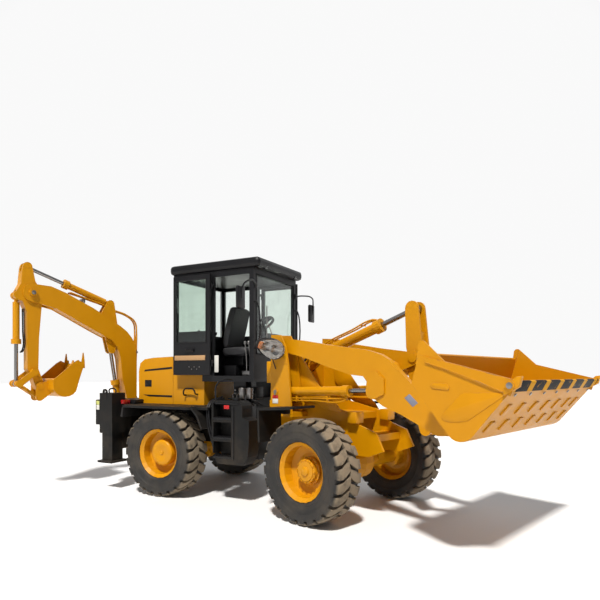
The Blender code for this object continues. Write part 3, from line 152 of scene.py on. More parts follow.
def block(one, other, soft=0.004):
    """A box between two opposite corners with rounded edges."""
    low = Vector(tuple(map(min, one, other)))
    high = Vector(tuple(map(max, one, other)))
    piece = box_between(low, high)
    return round_edges(piece, soft) if soft else piece


def bar(start, end, radius, sides=16, soft=0.0):
    """A round bar between two points, its end rims rounded."""
    clear_selection()
    start, end = Vector(start), Vector(end)
    along = end - start
    bpy.ops.mesh.primitive_cylinder_add(
        vertices=sides, radius=radius, depth=along.length, location=(start + end) / 2,
        rotation=along.to_track_quat("Z", "Y").to_euler())
    piece = bpy.context.object
    bpy.ops.object.transform_apply(location=True, rotation=True, scale=True)
    return round_edges(piece, soft, 2, 60) if soft else piece


def plate(outline, near, far, soft=0.003):
    """A flat plate from an outline in X and Z, between two distances along Y."""
    near, far = sorted((near, far))
    clear_selection()
    bpy.ops.mesh.primitive_circle_add(vertices=len(outline), radius=1, fill_type="NGON")
    piece = bpy.context.object
    for corner, (x, z) in zip(piece.data.vertices, outline):
        corner.co = (x, near, z)
    only(piece)
    bpy.ops.object.mode_set(mode="EDIT")
    bpy.ops.mesh.select_all(action="SELECT")
    bpy.ops.mesh.extrude_region_move(TRANSFORM_OT_translate={"value": (0, far - near, 0)})
    bpy.ops.object.mode_set(mode="OBJECT")
    tidy(piece)
    return round_edges(piece, soft) if soft else piece


def pipe(points, radius, sides=8, straight=False):
    """A round hose or tube along points, as a curve made into a mesh."""
    clear_selection()
    bpy.ops.curve.primitive_bezier_curve_add()
    line = bpy.context.object
    line.data.dimensions = "3D"
    line.data.resolution_u = 1 if straight else 6
    line.data.bevel_depth = radius
    line.data.bevel_resolution = max(1, sides // 4)
    line.data.use_fill_caps = True
    spline = line.data.splines[0]
    spline.bezier_points.add(len(points) - len(spline.bezier_points))
    for knot, place in zip(spline.bezier_points, points):
        knot.co = place
        knot.handle_left_type = knot.handle_right_type = "VECTOR" if straight else "AUTO"
    only(line)
    bpy.ops.object.convert(target="MESH")
    return tidy(bpy.context.object)


def revolve(section, steps, axis="Y", centre=(0, 0, 0)):
    """A closed ring from a loop of (radius, distance along the axis)."""
    clear_selection()
    bpy.ops.mesh.primitive_circle_add(vertices=len(section), radius=1, fill_type="NOTHING")
    piece = bpy.context.object
    for corner, (radius, along) in zip(piece.data.vertices, section):
        corner.co = (radius, along, 0) if axis == "Y" else (along, radius, 0)
    only(piece)
    spindle = (0, 1, 0) if axis == "Y" else (1, 0, 0)
    bpy.ops.object.mode_set(mode="EDIT")
    bpy.ops.mesh.select_all(action="SELECT")
    bpy.ops.mesh.spin(steps=steps, angle=2 * math.pi, center=(0, 0, 0), axis=spindle)
    bpy.ops.object.mode_set(mode="OBJECT")
    piece.data.transform(Matrix.Translation(centre))
    return tidy(piece)


def joined(pieces):
    """Several objects as one."""
    clear_selection()
    for piece in pieces:
        piece.select_set(True)
    bpy.context.view_layer.objects.active = pieces[0]
    bpy.ops.object.join()
    return bpy.context.object


def copy_of(piece, move=None):
    """A copy with its own mesh, moved by a matrix."""
    twin = piece.copy()
    twin.data = piece.data.copy()
    bpy.context.scene.collection.objects.link(twin)
    if move is not None:
        twin.data.transform(move)
        if move.determinant() < 0:
            tidy(twin)
    return twin


def around(piece, count, centre=(0, 0, 0), axis="Y"):
    """The piece repeated around an axis through the centre, as one object."""
    back, there = Matrix.Translation(-Vector(centre)), Matrix.Translation(Vector(centre))
    turns = [there @ Matrix.Rotation(2 * math.pi * i / count, 4, axis) @ back for i in range(1, count)]
    return joined([piece] + [copy_of(piece, turn) for turn in turns])


def edge_strips(low, high, grow):
    """Opposite corners of four strips along a rectangle's sides, in its own plane."""
    (u0, v0), (u1, v1) = low, high
    runs = (((u0, v0), (u1, v0)), ((u1, v0), (u1, v1)), ((u0, v1), (u1, v1)), ((u0, v0), (u0, v1)))
    return [((a[0] - grow, a[1] - grow), (b[0] + grow, b[1] + grow)) for a, b in runs]


def home(body):
    """The matrix of the half of the machine that a body belongs to."""
    if body in REACH_BODIES:
        return REACH
    return FRONT if body in FRONT_BODIES else REAR


def fit(piece, name, material, body, place=None, smooth=35):
    """Names a finished piece, gives it its material, puts it in place and hangs it on its body."""
    only(piece)
    piece.data.transform(home(body) if place is None else place)
    piece.name = name
    piece.data.name = name
    piece.data.materials.clear()
    piece.data.materials.append(material)
    bpy.ops.object.shade_smooth_by_angle(angle=math.radians(smooth))
    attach(piece, body)
    return piece


# Effects shared by the materials

def add(tree, kind, **values):
    """A node in the next free place of a grid, with its properties set."""
    column, row = len(tree.nodes) % 6, len(tree.nodes) // 6
    made = tree.nodes.new(kind)
    made.location = (220 * column, -320 * row)
    for key, value in values.items():
        setattr(made, key, value)
    return made


def new_group(name, inputs, outputs):
    """An empty node group with named sockets; inputs are (name, kind, value)."""
    group = bpy.data.node_groups.new(name, "ShaderNodeTree")
    for label, kind, value in inputs:
        socket = group.interface.new_socket(label, in_out="INPUT", socket_type=kind)
        socket.default_value = value
    for label, kind in outputs:
        group.interface.new_socket(label, in_out="OUTPUT", socket_type=kind)
    return group, add(group, "NodeGroupInput"), add(group, "NodeGroupOutput")


def noise(tree, coords, scale, detail):
    """A noise texture on the given coordinates."""
    made = add(tree, "ShaderNodeTexNoise")
    made.inputs["Scale"].default_value = scale
    made.inputs["Detail"].default_value = detail
    made.inputs["Roughness"].default_value = 0.55
    tree.links.new(coords, made.inputs["Vector"])
    return made.outputs["Fac"]


def spread(tree, value, low, high, to_low=0.0, to_high=1.0):
    """Maps a range of a value to another, clamped."""
    made = add(tree, "ShaderNodeMapRange")
    for key, number in (("From Min", low), ("From Max", high), ("To Min", to_low), ("To Max", to_high)):
        made.inputs[key].default_value = number
    tree.links.new(value, made.inputs["Value"])
    return made.outputs["Result"]


def sums(tree, kind, a, b, clamp=True):
    """A math node on two values, each a socket or a number."""
    made = add(tree, "ShaderNodeMath", operation=kind, use_clamp=clamp)
    for socket, value in zip(made.inputs, (a, b)):
        if isinstance(value, (int, float)):
            socket.default_value = value
        else:
            tree.links.new(value, socket)
    return made.outputs[0]


def blend_colours(tree, share, first, second):
    """Mixes two colours, each a socket or a colour, by a share."""
    made = add(tree, "ShaderNodeMix", data_type="RGBA")
    tree.links.new(share, made.inputs["Factor"])
    for socket, value in ((made.inputs[6], first), (made.inputs[7], second)):
        if isinstance(value, tuple):
            socket.default_value = (*value, 1)
        else:
            tree.links.new(value, socket)
    return made.outputs[2]


def make_wear():
    """Bare and scuffed patches along edges: a mask from a rounded normal broken up by noise."""
    group, enter, leave = new_group(
        "edge_wear", [("Vector", "NodeSocketVector", (0, 0, 0)), ("Amount", "NodeSocketFloat", 0.5)],
        [("Mask", "NodeSocketFloat")])
    rounded = add(group, "ShaderNodeBevel", samples=4)
    rounded.inputs["Radius"].default_value = 0.008
    true = add(group, "ShaderNodeNewGeometry")
    dot = add(group, "ShaderNodeVectorMath", operation="DOT_PRODUCT")
    group.links.new(rounded.outputs["Normal"], dot.inputs[0])
    group.links.new(true.outputs["Normal"], dot.inputs[1])
    edge = spread(group, dot.outputs["Value"], 0.995, 0.90)
    patches = spread(group, noise(group, enter.outputs["Vector"], 14, 6), 0.48, 0.66)
    worn = sums(group, "MULTIPLY", edge, patches)
    worn = sums(group, "MULTIPLY", worn, enter.outputs["Amount"])
    group.links.new(worn, leave.inputs["Mask"])
    return group


def make_dust():
    """Dry earth that lies on upward faces and low on the machine."""
    group, enter, leave = new_group(
        "earth_dust", [("Vector", "NodeSocketVector", (0, 0, 0)), ("Amount", "NodeSocketFloat", 0.5),
                       ("Height", "NodeSocketFloat", 0.9)],
        [("Mask", "NodeSocketFloat")])
    parts = add(group, "ShaderNodeSeparateXYZ")
    group.links.new(enter.outputs["Vector"], parts.inputs[0])
    low = spread(group, parts.outputs["Z"], 0, 1, 1, 0)
    group.links.new(enter.outputs["Height"], low.node.inputs["From Max"])
    face = add(group, "ShaderNodeNewGeometry")
    up = add(group, "ShaderNodeSeparateXYZ")
    group.links.new(face.outputs["Normal"], up.inputs[0])
    top = spread(group, up.outputs["Z"], 0.3, 1.0, 0.0, 0.5)
    lies = sums(group, "MAXIMUM", top, low)
    clouds = spread(group, noise(group, enter.outputs["Vector"], 3.5, 8), 0.40, 0.72)
    dusty = sums(group, "MULTIPLY", lies, clouds)
    dusty = sums(group, "MULTIPLY", dusty, enter.outputs["Amount"])
    group.links.new(dusty, leave.inputs["Mask"])
    return group


def make_mottle():
    """A slow change of tone, faint runs down the sheet and a fine ripple of the surface."""
    group, enter, leave = new_group(
        "sheet_mottle", [("Vector", "NodeSocketVector", (0, 0, 0)), ("Color", "NodeSocketColor", (1, 1, 1, 1)),
                         ("Variation", "NodeSocketFloat", 0.1)],
        [("Color", "NodeSocketColor"), ("Height", "NodeSocketFloat"), ("Roughness Shift", "NodeSocketFloat")])
    slow = noise(group, enter.outputs["Vector"], 1.7, 5)
    fine = noise(group, enter.outputs["Vector"], 160, 3)
    streak = add(group, "ShaderNodeVectorMath", operation="MULTIPLY")
    streak.inputs[1].default_value = (5, 5, 0.7)
    group.links.new(enter.outputs["Vector"], streak.inputs[0])
    runs = noise(group, streak.outputs["Vector"], 1.5, 5)
    tone = sums(group, "SUBTRACT", slow, 0.5, clamp=False)
    side = sums(group, "SUBTRACT", runs, 0.5, clamp=False)
    both = sums(group, "ADD", tone, side, clamp=False)
    scaled = sums(group, "MULTIPLY", both, enter.outputs["Variation"], clamp=False)
    lift = sums(group, "ADD", scaled, 1.0, clamp=False)
    tint = add(group, "ShaderNodeHueSaturation")
    group.links.new(lift, tint.inputs["Value"])
    group.links.new(enter.outputs["Color"], tint.inputs["Color"])
    group.links.new(tint.outputs["Color"], leave.inputs["Color"])
    group.links.new(fine, leave.inputs["Height"])
    shift = spread(group, slow, 0.3, 0.7, -0.06, 0.08)
    group.links.new(shift, leave.inputs["Roughness Shift"])
    return group


WEAR = make_wear()
DUST = make_dust()
MOTTLE = make_mottle()
EARTH = (0.26, 0.19, 0.12)


# Materials

def start_material(name):
    """A new material with its shader and its object coordinates."""
    made = bpy.data.materials.new(name)
    made.use_nodes = True
    tree = made.node_tree
    coords = add(tree, "ShaderNodeTexCoord")
    return made, tree, tree.nodes["Principled BSDF"], coords.outputs["Object"]


def use(tree, group, **values):
    """A node group placed in a material with its own values."""
    made = add(tree, "ShaderNodeGroup", node_tree=group)
    for key, value in values.items():
        if isinstance(value, (float, int, tuple)):
            made.inputs[key].default_value = value
        else:
            tree.links.new(value, made.inputs[key])
    return made


def bump(tree, height, strength, distance, shader):
    """Raises the surface by a height map."""
    made = add(tree, "ShaderNodeBump")
    made.inputs["Strength"].default_value = strength
    made.inputs["Distance"].default_value = distance
    tree.links.new(height, made.inputs["Height"])
    tree.links.new(made.outputs["Normal"], shader.inputs["Normal"])


def coated(name, colour, bare, roughness, variation, wear, dust, height=1.0, coat=0.0, grain=0.08):
    """Painted sheet steel: mottled paint, bare edges and earth dust."""
    made, tree, shader, coords = start_material(name)
    mottle = use(tree, MOTTLE, Vector=coords, Color=(*colour, 1), Variation=variation)
    worn = use(tree, WEAR, Vector=coords, Amount=wear)
    dusty = use(tree, DUST, Vector=coords, Amount=dust, Height=height)
    paint = blend_colours(tree, worn.outputs["Mask"], mottle.outputs["Color"], bare)
    paint = blend_colours(tree, dusty.outputs["Mask"], paint, EARTH)
    tree.links.new(paint, shader.inputs["Base Color"])
    rough = sums(tree, "ADD", mottle.outputs["Roughness Shift"], roughness)
    rough = sums(tree, "ADD", rough, sums(tree, "MULTIPLY", dusty.outputs["Mask"], 0.45))
    tree.links.new(rough, shader.inputs["Roughness"])
    metal = sums(tree, "MULTIPLY", worn.outputs["Mask"], 0.6)
    tree.links.new(metal, shader.inputs["Metallic"])
    shader.inputs["Specular IOR Level"].default_value = 0.22
    shader.inputs["Coat Weight"].default_value = coat
    shader.inputs["Coat Roughness"].default_value = 0.12
    bump(tree, mottle.outputs["Height"], grain, 0.002, shader)
    return made


def make_rubber():
    """Tyre rubber, its tread tops dusted with dry earth by the tread attribute."""
    made, tree, shader, coords = start_material("tyre_rubber")
    mottle = use(tree, MOTTLE, Vector=coords, Color=(0.013, 0.012, 0.011, 1), Variation=0.4)
    mark = add(tree, "ShaderNodeAttribute", attribute_name="tread")
    patches = spread(tree, noise(tree, coords, 9, 8), 0.22, 0.50)
    dusty = sums(tree, "MULTIPLY", mark.outputs["Fac"], patches)
    film = spread(tree, noise(tree, coords, 4, 6), 0.42, 0.80, 0.0, 0.22)
    dusty = sums(tree, "MAXIMUM", dusty, film)
    colour = blend_colours(tree, dusty, mottle.outputs["Color"], (0.21, 0.165, 0.11))
    tree.links.new(colour, shader.inputs["Base Color"])
    tree.links.new(spread(tree, dusty, 0, 1, 0.62, 0.95), shader.inputs["Roughness"])
    bump(tree, mottle.outputs["Height"], 0.3, 0.002, shader)
    return made


def make_steel(name, roughness, dust):
    """Ground or plated steel under a film of dust."""
    made, tree, shader, coords = start_material(name)
    mottle = use(tree, MOTTLE, Vector=coords, Color=(0.30, 0.29, 0.28, 1), Variation=0.15)
    dusty = use(tree, DUST, Vector=coords, Amount=dust, Height=1.2)
    tone = blend_colours(tree, dusty.outputs["Mask"], mottle.outputs["Color"], EARTH)
    tree.links.new(tone, shader.inputs["Base Color"])
    rough = sums(tree, "ADD", mottle.outputs["Roughness Shift"], roughness)
    tree.links.new(rough, shader.inputs["Roughness"])
    shader.inputs["Metallic"].default_value = 1.0
    bump(tree, mottle.outputs["Height"], 0.05, 0.001, shader)
    return made


def make_glass(name, tint, roughness):
    """Clear glass with a faint cloudy film."""
    made, tree, shader, coords = start_material(name)
    film = spread(tree, noise(tree, coords, 5, 6), 0.45, 0.8)
    colour = blend_colours(tree, film, tint, tuple(0.93 * c for c in tint))
    tree.links.new(colour, shader.inputs["Base Color"])
    rough = spread(tree, film, 0, 1, roughness, roughness + 0.05)
    tree.links.new(rough, shader.inputs["Roughness"])
    shader.inputs["Transmission Weight"].default_value = 1.0
    shader.inputs["IOR"].default_value = 1.45
    return made


def make_vinyl():
    """Black seat vinyl with a leather-like grain."""
    made, tree, shader, coords = start_material("seat_vinyl")
    mottle = use(tree, MOTTLE, Vector=coords, Color=(0.022, 0.022, 0.024, 1), Variation=0.25)
    cells = add(tree, "ShaderNodeTexVoronoi", feature="DISTANCE_TO_EDGE")
    cells.inputs["Scale"].default_value = 220
    tree.links.new(coords, cells.inputs["Vector"])
    tree.links.new(mottle.outputs["Color"], shader.inputs["Base Color"])
    rough = sums(tree, "ADD", mottle.outputs["Roughness Shift"], 0.55)
    tree.links.new(rough, shader.inputs["Roughness"])
    bump(tree, spread(tree, cells.outputs["Distance"], 0, 0.12), 0.25, 0.002, shader)
    return made


def make_hazard():
    """Black bars on yellow, slanted along the bucket's lip, scraped by use."""
    made, tree, shader, coords = start_material("lip_stripes")
    mottle = use(tree, MOTTLE, Vector=coords, Color=(0.56, 0.262, 0.001, 1), Variation=0.2)
    turn = add(tree, "ShaderNodeMapping")
    turn.inputs["Rotation"].default_value = (0, 0, -STEER_REST)
    tree.links.new(coords, turn.inputs["Vector"])
    parts = add(tree, "ShaderNodeSeparateXYZ")
    tree.links.new(turn.outputs["Vector"], parts.inputs[0])
    slant = add(tree, "ShaderNodeMath", operation="MULTIPLY_ADD")
    slant.inputs[1].default_value = 0.9
    tree.links.new(parts.outputs["Z"], slant.inputs[0])
    tree.links.new(parts.outputs["Y"], slant.inputs[2])
    bars = add(tree, "ShaderNodeMath", operation="PINGPONG")
    bars.inputs[1].default_value = 0.18
    tree.links.new(slant.outputs[0], bars.inputs[0])
    edge = spread(tree, bars.outputs[0], 0.052, 0.058)
    scraped = spread(tree, noise(tree, coords, 22, 8), 0.60, 0.74, 1.0, 0.3)
    black = sums(tree, "MULTIPLY", edge, scraped)
    tone = blend_colours(tree, black, mottle.outputs["Color"], (0.012, 0.012, 0.013))
    tree.links.new(tone, shader.inputs["Base Color"])
    rough = sums(tree, "ADD", mottle.outputs["Roughness Shift"], 0.6)
    tree.links.new(rough, shader.inputs["Roughness"])
    shader.inputs["Specular IOR Level"].default_value = 0.12
    bump(tree, mottle.outputs["Height"], 0.15, 0.002, shader)
    return made


def make_lens(name, colour, glow):
    """A ribbed lamp lens."""
    made, tree, shader, coords = start_material(name)
    mottle = use(tree, MOTTLE, Vector=coords, Color=(*colour, 1), Variation=0.06)
    tree.links.new(mottle.outputs["Color"], shader.inputs["Base Color"])
    ribs = add(tree, "ShaderNodeTexWave", bands_direction="Y")
    ribs.inputs["Scale"].default_value = 22
    tree.links.new(coords, ribs.inputs["Vector"])
    tree.links.new(spread(tree, ribs.outputs["Fac"], 0, 1, 0.04, 0.12), shader.inputs["Roughness"])
    shader.inputs["Transmission Weight"].default_value = glow
    shader.inputs["Coat Weight"].default_value = 0.6
    bump(tree, ribs.outputs["Fac"], 0.3, 0.003, shader)
    return made


YELLOW = coated("yellow_paint", (0.56, 0.240, 0.0005), bare=(0.17, 0.11, 0.06), roughness=0.38,
                variation=0.07, wear=0.45, dust=0.14, height=0.9, coat=0.08)
BUCKET_YELLOW = coated("bucket_paint", (0.55, 0.232, 0.0005), bare=(0.20, 0.13, 0.08), roughness=0.42,
                       variation=0.10, wear=0.8, dust=0.22, height=1.2, coat=0.06)
BLACK = coated("black_paint", (0.008, 0.008, 0.009), bare=(0.07, 0.07, 0.07), roughness=0.38,
               variation=0.3, wear=0.35, dust=0.10, height=1.1, coat=0.1)
CHASSIS_BLACK = coated("chassis_black", (0.007, 0.007, 0.007), bare=(0.06, 0.055, 0.05), roughness=0.5,
                       variation=0.35, wear=0.5, dust=0.22, height=1.3)
TAN = coated("tan_strip", (0.42, 0.25, 0.12), bare=(0.2, 0.16, 0.12), roughness=0.55,
             variation=0.1, wear=0.2, dust=0.1)
WHITE = coated("pale_plate", (0.62, 0.61, 0.56), bare=(0.3, 0.3, 0.28), roughness=0.5,
               variation=0.08, wear=0.3, dust=0.2)
SLATE = coated("slate_plate", (0.20, 0.21, 0.27), bare=(0.3, 0.3, 0.3), roughness=0.5,
               variation=0.1, wear=0.3, dust=0.1)
RED = coated("red_plate", (0.45, 0.02, 0.02), bare=(0.3, 0.2, 0.2), roughness=0.5,
             variation=0.1, wear=0.2, dust=0.2)
LIME = coated("lime_plate", (0.50, 0.52, 0.16), bare=(0.3, 0.3, 0.2), roughness=0.5,
              variation=0.1, wear=0.2, dust=0.1)
RUBBER = make_rubber()
CHROME = make_steel("rod_chrome", roughness=0.2, dust=0.15)
STEEL = make_steel("dull_steel", roughness=0.38, dust=0.4)
GLASS = make_glass("cab_glass", (0.84, 0.91, 0.86), 0.01)
VINYL = make_vinyl()
HAZARD = make_hazard()
CLEAR = make_glass("lamp_clear", (0.97, 0.97, 0.96), 0.02)
AMBER = make_lens("lamp_amber", (0.80, 0.22, 0.02), 0.5)
TAIL_RED = make_lens("lamp_red", (0.55, 0.02, 0.02), 0.4)
HOSE = coated("hose_rubber", (0.014, 0.014, 0.015), bare=(0.06, 0.06, 0.06), roughness=0.6,
              variation=0.3, wear=0.1, dust=0.3, height=1.4, grain=0.3)


def dress_frame():
    """Gives every solid of the frame its finish."""
    finishes = (
        (BUCKET_YELLOW, ("loader_bucket", "dig_bucket")),
        (CHROME, ("boom_rod", "dig_rod", "dipper_rod", "lift_left_rod", "lift_right_rod", "tilt_rod")),
        (GLASS, ("windshield", "rear_window", "door_glass_left", "door_glass_right", "side_window_left",
                 "side_window_right")),
        (CHASSIS_BLACK, ("rear_frame", "stabilizer_leg_left", "stabilizer_leg_right", "rear_deck", "tank_left",
                         "tank_right", "engine_block", "front_fender_left", "front_fender_right")),
        (BLACK, ("cab_frame", "cab_roof", "cab_door_left", "cab_door_right", "steering_column", "headlamp_left",
                 "headlamp_right")),
        (STEEL, ("tilt_base_pin",)),
        (VINYL, ("operator_seat",)))
    paints = {name: paint for paint, names in finishes for name in names}
    for name, node in frame["nodes"].items():
        paint = RUBBER if name.startswith("tyre") else paints.get(name, YELLOW)
        node.data.materials.clear()
        node.data.materials.append(paint)


dress_frame()


# Tyres and wheel hubs

def tread_block(side):
    """One lug, from near the middle of the tread over the shoulder, at the top of the tyre."""
    clear_selection()
    bpy.ops.mesh.primitive_grid_add(x_subdivisions=5, y_subdivisions=2, size=1)
    lug = bpy.context.object
    turn = 2 * math.pi / LUGS
    # Share of the tyre's half width, radius, place and half length along the tread in lug spacings
    stations = [(0.01, TYRE_RADIUS - 0.002, -0.34, 0.30), (0.36, TYRE_RADIUS - 0.001, -0.10, 0.38),
                (0.60, TYRE_RADIUS - 0.003, 0.10, 0.37), (0.90, 0.980 * TYRE_RADIUS, 0.13, 0.35),
                (1.005, 0.935 * TYRE_RADIUS, 0.13, 0.31), (0.985, 0.875 * TYRE_RADIUS, 0.13, 0.27)]
    corners = sorted(lug.data.vertices, key=lambda corner: (round(corner.co.x, 3), corner.co.y))
    rows = len(corners) // len(stations)
    for k, (out, radius, offset, half) in enumerate(stations):
        for r, corner in enumerate(corners[k * rows:(k + 1) * rows]):
            angle = turn * (offset + half * (2 * r / (rows - 1) - 1))
            if side < 0:
                angle += turn / 2
            corner.co = (radius * math.sin(angle), side * out * TYRE_HALF, radius * math.cos(angle))
    tidy(lug)
    only(lug)
    wall = lug.modifiers.new("depth", "SOLIDIFY")
    wall.thickness = 0.05
    wall.offset = -1
    bpy.ops.object.modifier_apply(modifier=wall.name)
    outward = sum((f.normal.dot(f.center.normalized()) * f.area for f in lug.data.polygons
                   if f.center.length > TYRE_RADIUS - 0.02), 0.0)
    if outward < 0:
        lug.data.flip_normals()
    return round_edges(lug, 0.005, 1, 40)


def make_tyre():
    """Tyre carcass with bulging side walls and two rows of staggered lugs, centred on the origin."""
    base = TYRE_RADIUS - 0.036
    # Half a section from the tread's middle to the bead: shares of the tyre's radius and half width
    wall = [(0.90, 0.965), (0.84, 0.995), (0.775, 0.99), (0.77, 0.975), (0.70, 0.95), (0.64, 0.90),
            (0.632, 0.915), (0.60, 0.885), (0.575, 0.84)]
    right = [(base, 0), (base - 0.001, -0.5 * TYRE_HALF), (base - 0.01, -0.80 * TYRE_HALF)]
    right += [(radius * TYRE_RADIUS, -along * TYRE_HALF) for radius, along in wall]
    right += [(0.336, -0.72 * TYRE_HALF), (0.31, -0.66 * TYRE_HALF)]
    left = [(radius, -along) for radius, along in right[1:][::-1]]
    carcass = revolve(right + left, 96)
    lugs = [around(tread_block(side), LUGS) for side in (-1, 1)]
    tyre = joined([carcass] + lugs)
    mark = tyre.data.attributes.new("tread", "FLOAT", "POINT")
    for i, corner in enumerate(tyre.data.vertices):
        radius = math.hypot(corner.co.x, corner.co.z)
        top = (radius - (base + 0.004)) / 0.02
        shoulder = 1.0 if abs(corner.co.y) < 0.93 * TYRE_HALF else 0.35
        mark.data[i].value = max(0.0, min(1.0, top)) * shoulder
    return tyre


def make_drum():
    """The rear wheel's middle: a plain round drum with a small cap."""
    drum = revolve([(0.02, 0.0), (0.02, 0.090), (0.085, 0.090), (0.095, 0.096), (0.158, 0.096),
                    (0.170, 0.090), (0.178, 0.078), (0.180, 0.0)], 56)
    cap = revolve([(0.001, 0.080), (0.001, 0.102), (0.022, 0.102), (0.030, 0.096), (0.030, 0.080)], 24)
    return [drum, cap]


def make_bolted_hub():
    """The front wheel's middle: a ring with two circles of bolts and a cap."""
    ring = revolve([(0.105, 0.0), (0.105, 0.074), (0.118, 0.078), (0.136, 0.070), (0.140, 0.030),
                    (0.158, 0.022), (0.158, 0.0)], 56)
    bolt = bar((0.128, 0.066, 0), (0.128, 0.086, 0), 0.010, 6, 0.002)
    stud = bar((0.149, 0.010, 0), (0.149, 0.038, 0), 0.009, 6, 0.002)
    cap = revolve([(0.001, 0.085), (0.001, 0.108), (0.040, 0.106), (0.050, 0.100), (0.056, 0.085)], 32)
    return [ring, around(bolt, 12), around(stud, 10), cap]


def make_hub(side, end):
    """The wheel's middle and the valve on its outer face, centred on the origin."""
    parts = make_drum() if end == "rear" else make_bolted_hub()
    parts.append(pipe([(0.21, -0.02, 0.12), (0.222, 0.02, 0.125), (0.232, 0.045, 0.13)], 0.006))
    hub = joined(parts)
    if side < 0:
        hub.data.transform(MIRROR)
        tidy(hub)
    return hub


def fit_wheels():
    """Four tyres, each turned by an angle of its own, and their hubs."""
    tyre = make_tyre()
    for end, place, x in (("rear", REAR, REAR_AXLE_X), ("front", FRONT, FRONT_AXLE_X)):
        for label, side in SIDES:
            name = "%s_%s" % (end, label)
            centre = place @ Matrix.Translation((x, side * TRACK_HALF, TYRE_RADIUS))
            turned = centre @ Matrix.Rotation(0.07 * (x + side), 4, "Y")
            rubber = fit(copy_of(tyre), "tread_tyre_" + name, RUBBER, "wheel_" + name, turned, 40)
            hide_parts("tyre_" + name)
            fit(make_hub(side, end), "hub_face_" + name, YELLOW, "wheel_" + name, centre)
    bpy.data.objects.remove(tyre, do_unlink=True)


fit_wheels()


# Engine hood, deck handle and rear lamps

def fit_hood():
    """Stripes, catches and vents on the hood's sides, the deck's handle, the lamps and the grille's frame."""
    for label, side in SIDES:
        near, far = sorted((side * (HOOD_SIDE - 0.006), side * (HOOD_SIDE + 0.003)))
        stripe = plate([(-2.12, 1.715), (-1.574, 1.752), (-1.574, 1.782), (-2.105, 1.742)], near, far, 0.001)
        fit(stripe, "upper_stripe_" + label, BLACK, "engine_hood")
        stripe = plate([(-2.02, 1.338), (-1.574, 1.335), (-1.574, 1.362), (-2.14, 1.366)], near, far, 0.001)
        fit(stripe, "lower_stripe_" + label, BLACK, "engine_hood")
        grip = joined([block((-2.106, near, 1.484), (-1.972, far, 1.588), 0.008),
                       block((-2.075, near - 0.003, 1.512), (-2.003, far + 0.004, 1.560), 0.006)])
        fit(grip, "side_catch_" + label, BLACK, "engine_hood")
        near, far = side * (HOOD_SIDE - 0.002), side * (HOOD_SIDE + 0.004)
        vents = [block((-1.50 + 0.075 * i, near, 1.66), (-1.455 + 0.075 * i, far, 1.80)) for i in range(5)]
        fit(joined(vents), "base_vents_" + label, BLACK, "chassis")
    handle = pipe([(-1.315, -0.545, 1.372), (-1.315, -0.60, 1.38), (-1.295, -0.615, 1.452),
                   (-1.21, -0.617, 1.468), (-1.125, -0.615, 1.452), (-1.105, -0.60, 1.395),
                   (-1.105, -0.545, 1.385)], 0.011)
    fit(handle, "deck_handle", BLACK, "chassis")
    for label, side in SIDES:
        lamp = block((-2.245, side * 0.40 - 0.06, 1.74), (-2.222, side * 0.40 + 0.06, 1.79), 0.008)
        fit(lamp, "work_lamp_" + label, TAIL_RED, "engine_hood")
    back = HOOD_REAR - 0.017
    strips = [block((back, -0.42, 1.318), (HOOD_REAR, 0.42, 1.334)),
              block((back, -0.42, 1.676), (HOOD_REAR, 0.42, 1.692)),
              block((back, -0.42, 1.318), (HOOD_REAR, -0.404, 1.692)),
              block((back, 0.404, 1.318), (HOOD_REAR, 0.42, 1.692)),
              block((back, -0.008, 1.318), (HOOD_REAR, 0.008, 1.692))]
    fit(joined(strips), "grille_frame", BLACK, "engine_hood")


fit_hood()


# Cab outside

def fit_doors():
    """The folded right door's strip, studs, catch and window seal, and the left door's catch."""
    face = DOOR_FACE
    strip = block((-1.41, face - 0.008, 1.868), (-0.87, face + 0.002, 1.936), 0.003)
    fit(strip, "door_tan_strip", TAN, "cab_door_right")
    studs = []
    for i in range(5):
        x = -1.15 + 0.045 * i
        z = 1.775 - 0.03 * (i % 2)
        studs.append(bar((x, face - 0.008, z), (x, face + 0.001, z), 0.008, 8, 0.002))
    fit(joined(studs), "door_studs", STEEL, "cab_door_right")
    pull = joined([block((-1.21, face - 0.026, 1.985), (-1.06, face + 0.002, 2.035), 0.008),
                   bar((-1.19, face - 0.034, 2.01), (-1.08, face - 0.034, 2.01), 0.009, 12, 0.003),
                   block((-1.195, face - 0.036, 2.0), (-1.18, face - 0.01, 2.02), 0.002),
                   block((-1.09, face - 0.036, 2.0), (-1.075, face - 0.01, 2.02), 0.002)])
    fit(pull, "door_catch_right", BLACK, "cab_door_right")
    face = CAB_SIDE + 0.047
    pull = joined([block((-0.30, face - 0.002, 1.985), (-0.17, face + 0.016, 2.035), 0.008),
                   bar((-0.29, face + 0.022, 2.01), (-0.18, face + 0.022, 2.01), 0.009, 12, 0.003)])
    fit(pull, "door_catch_left", BLACK, "cab_door_left")
    near, far = DOOR_FACE - 0.008, DOOR_FACE + 0.001
    seals = [block((a[0], near, a[1]), (b[0], far, b[1]), 0.003)
             for a, b in edge_strips((-1.385, 2.118), (-0.855, 2.992), 0.008)]
    fit(joined(seals), "door_seal_right", HOSE, "cab_door_right")


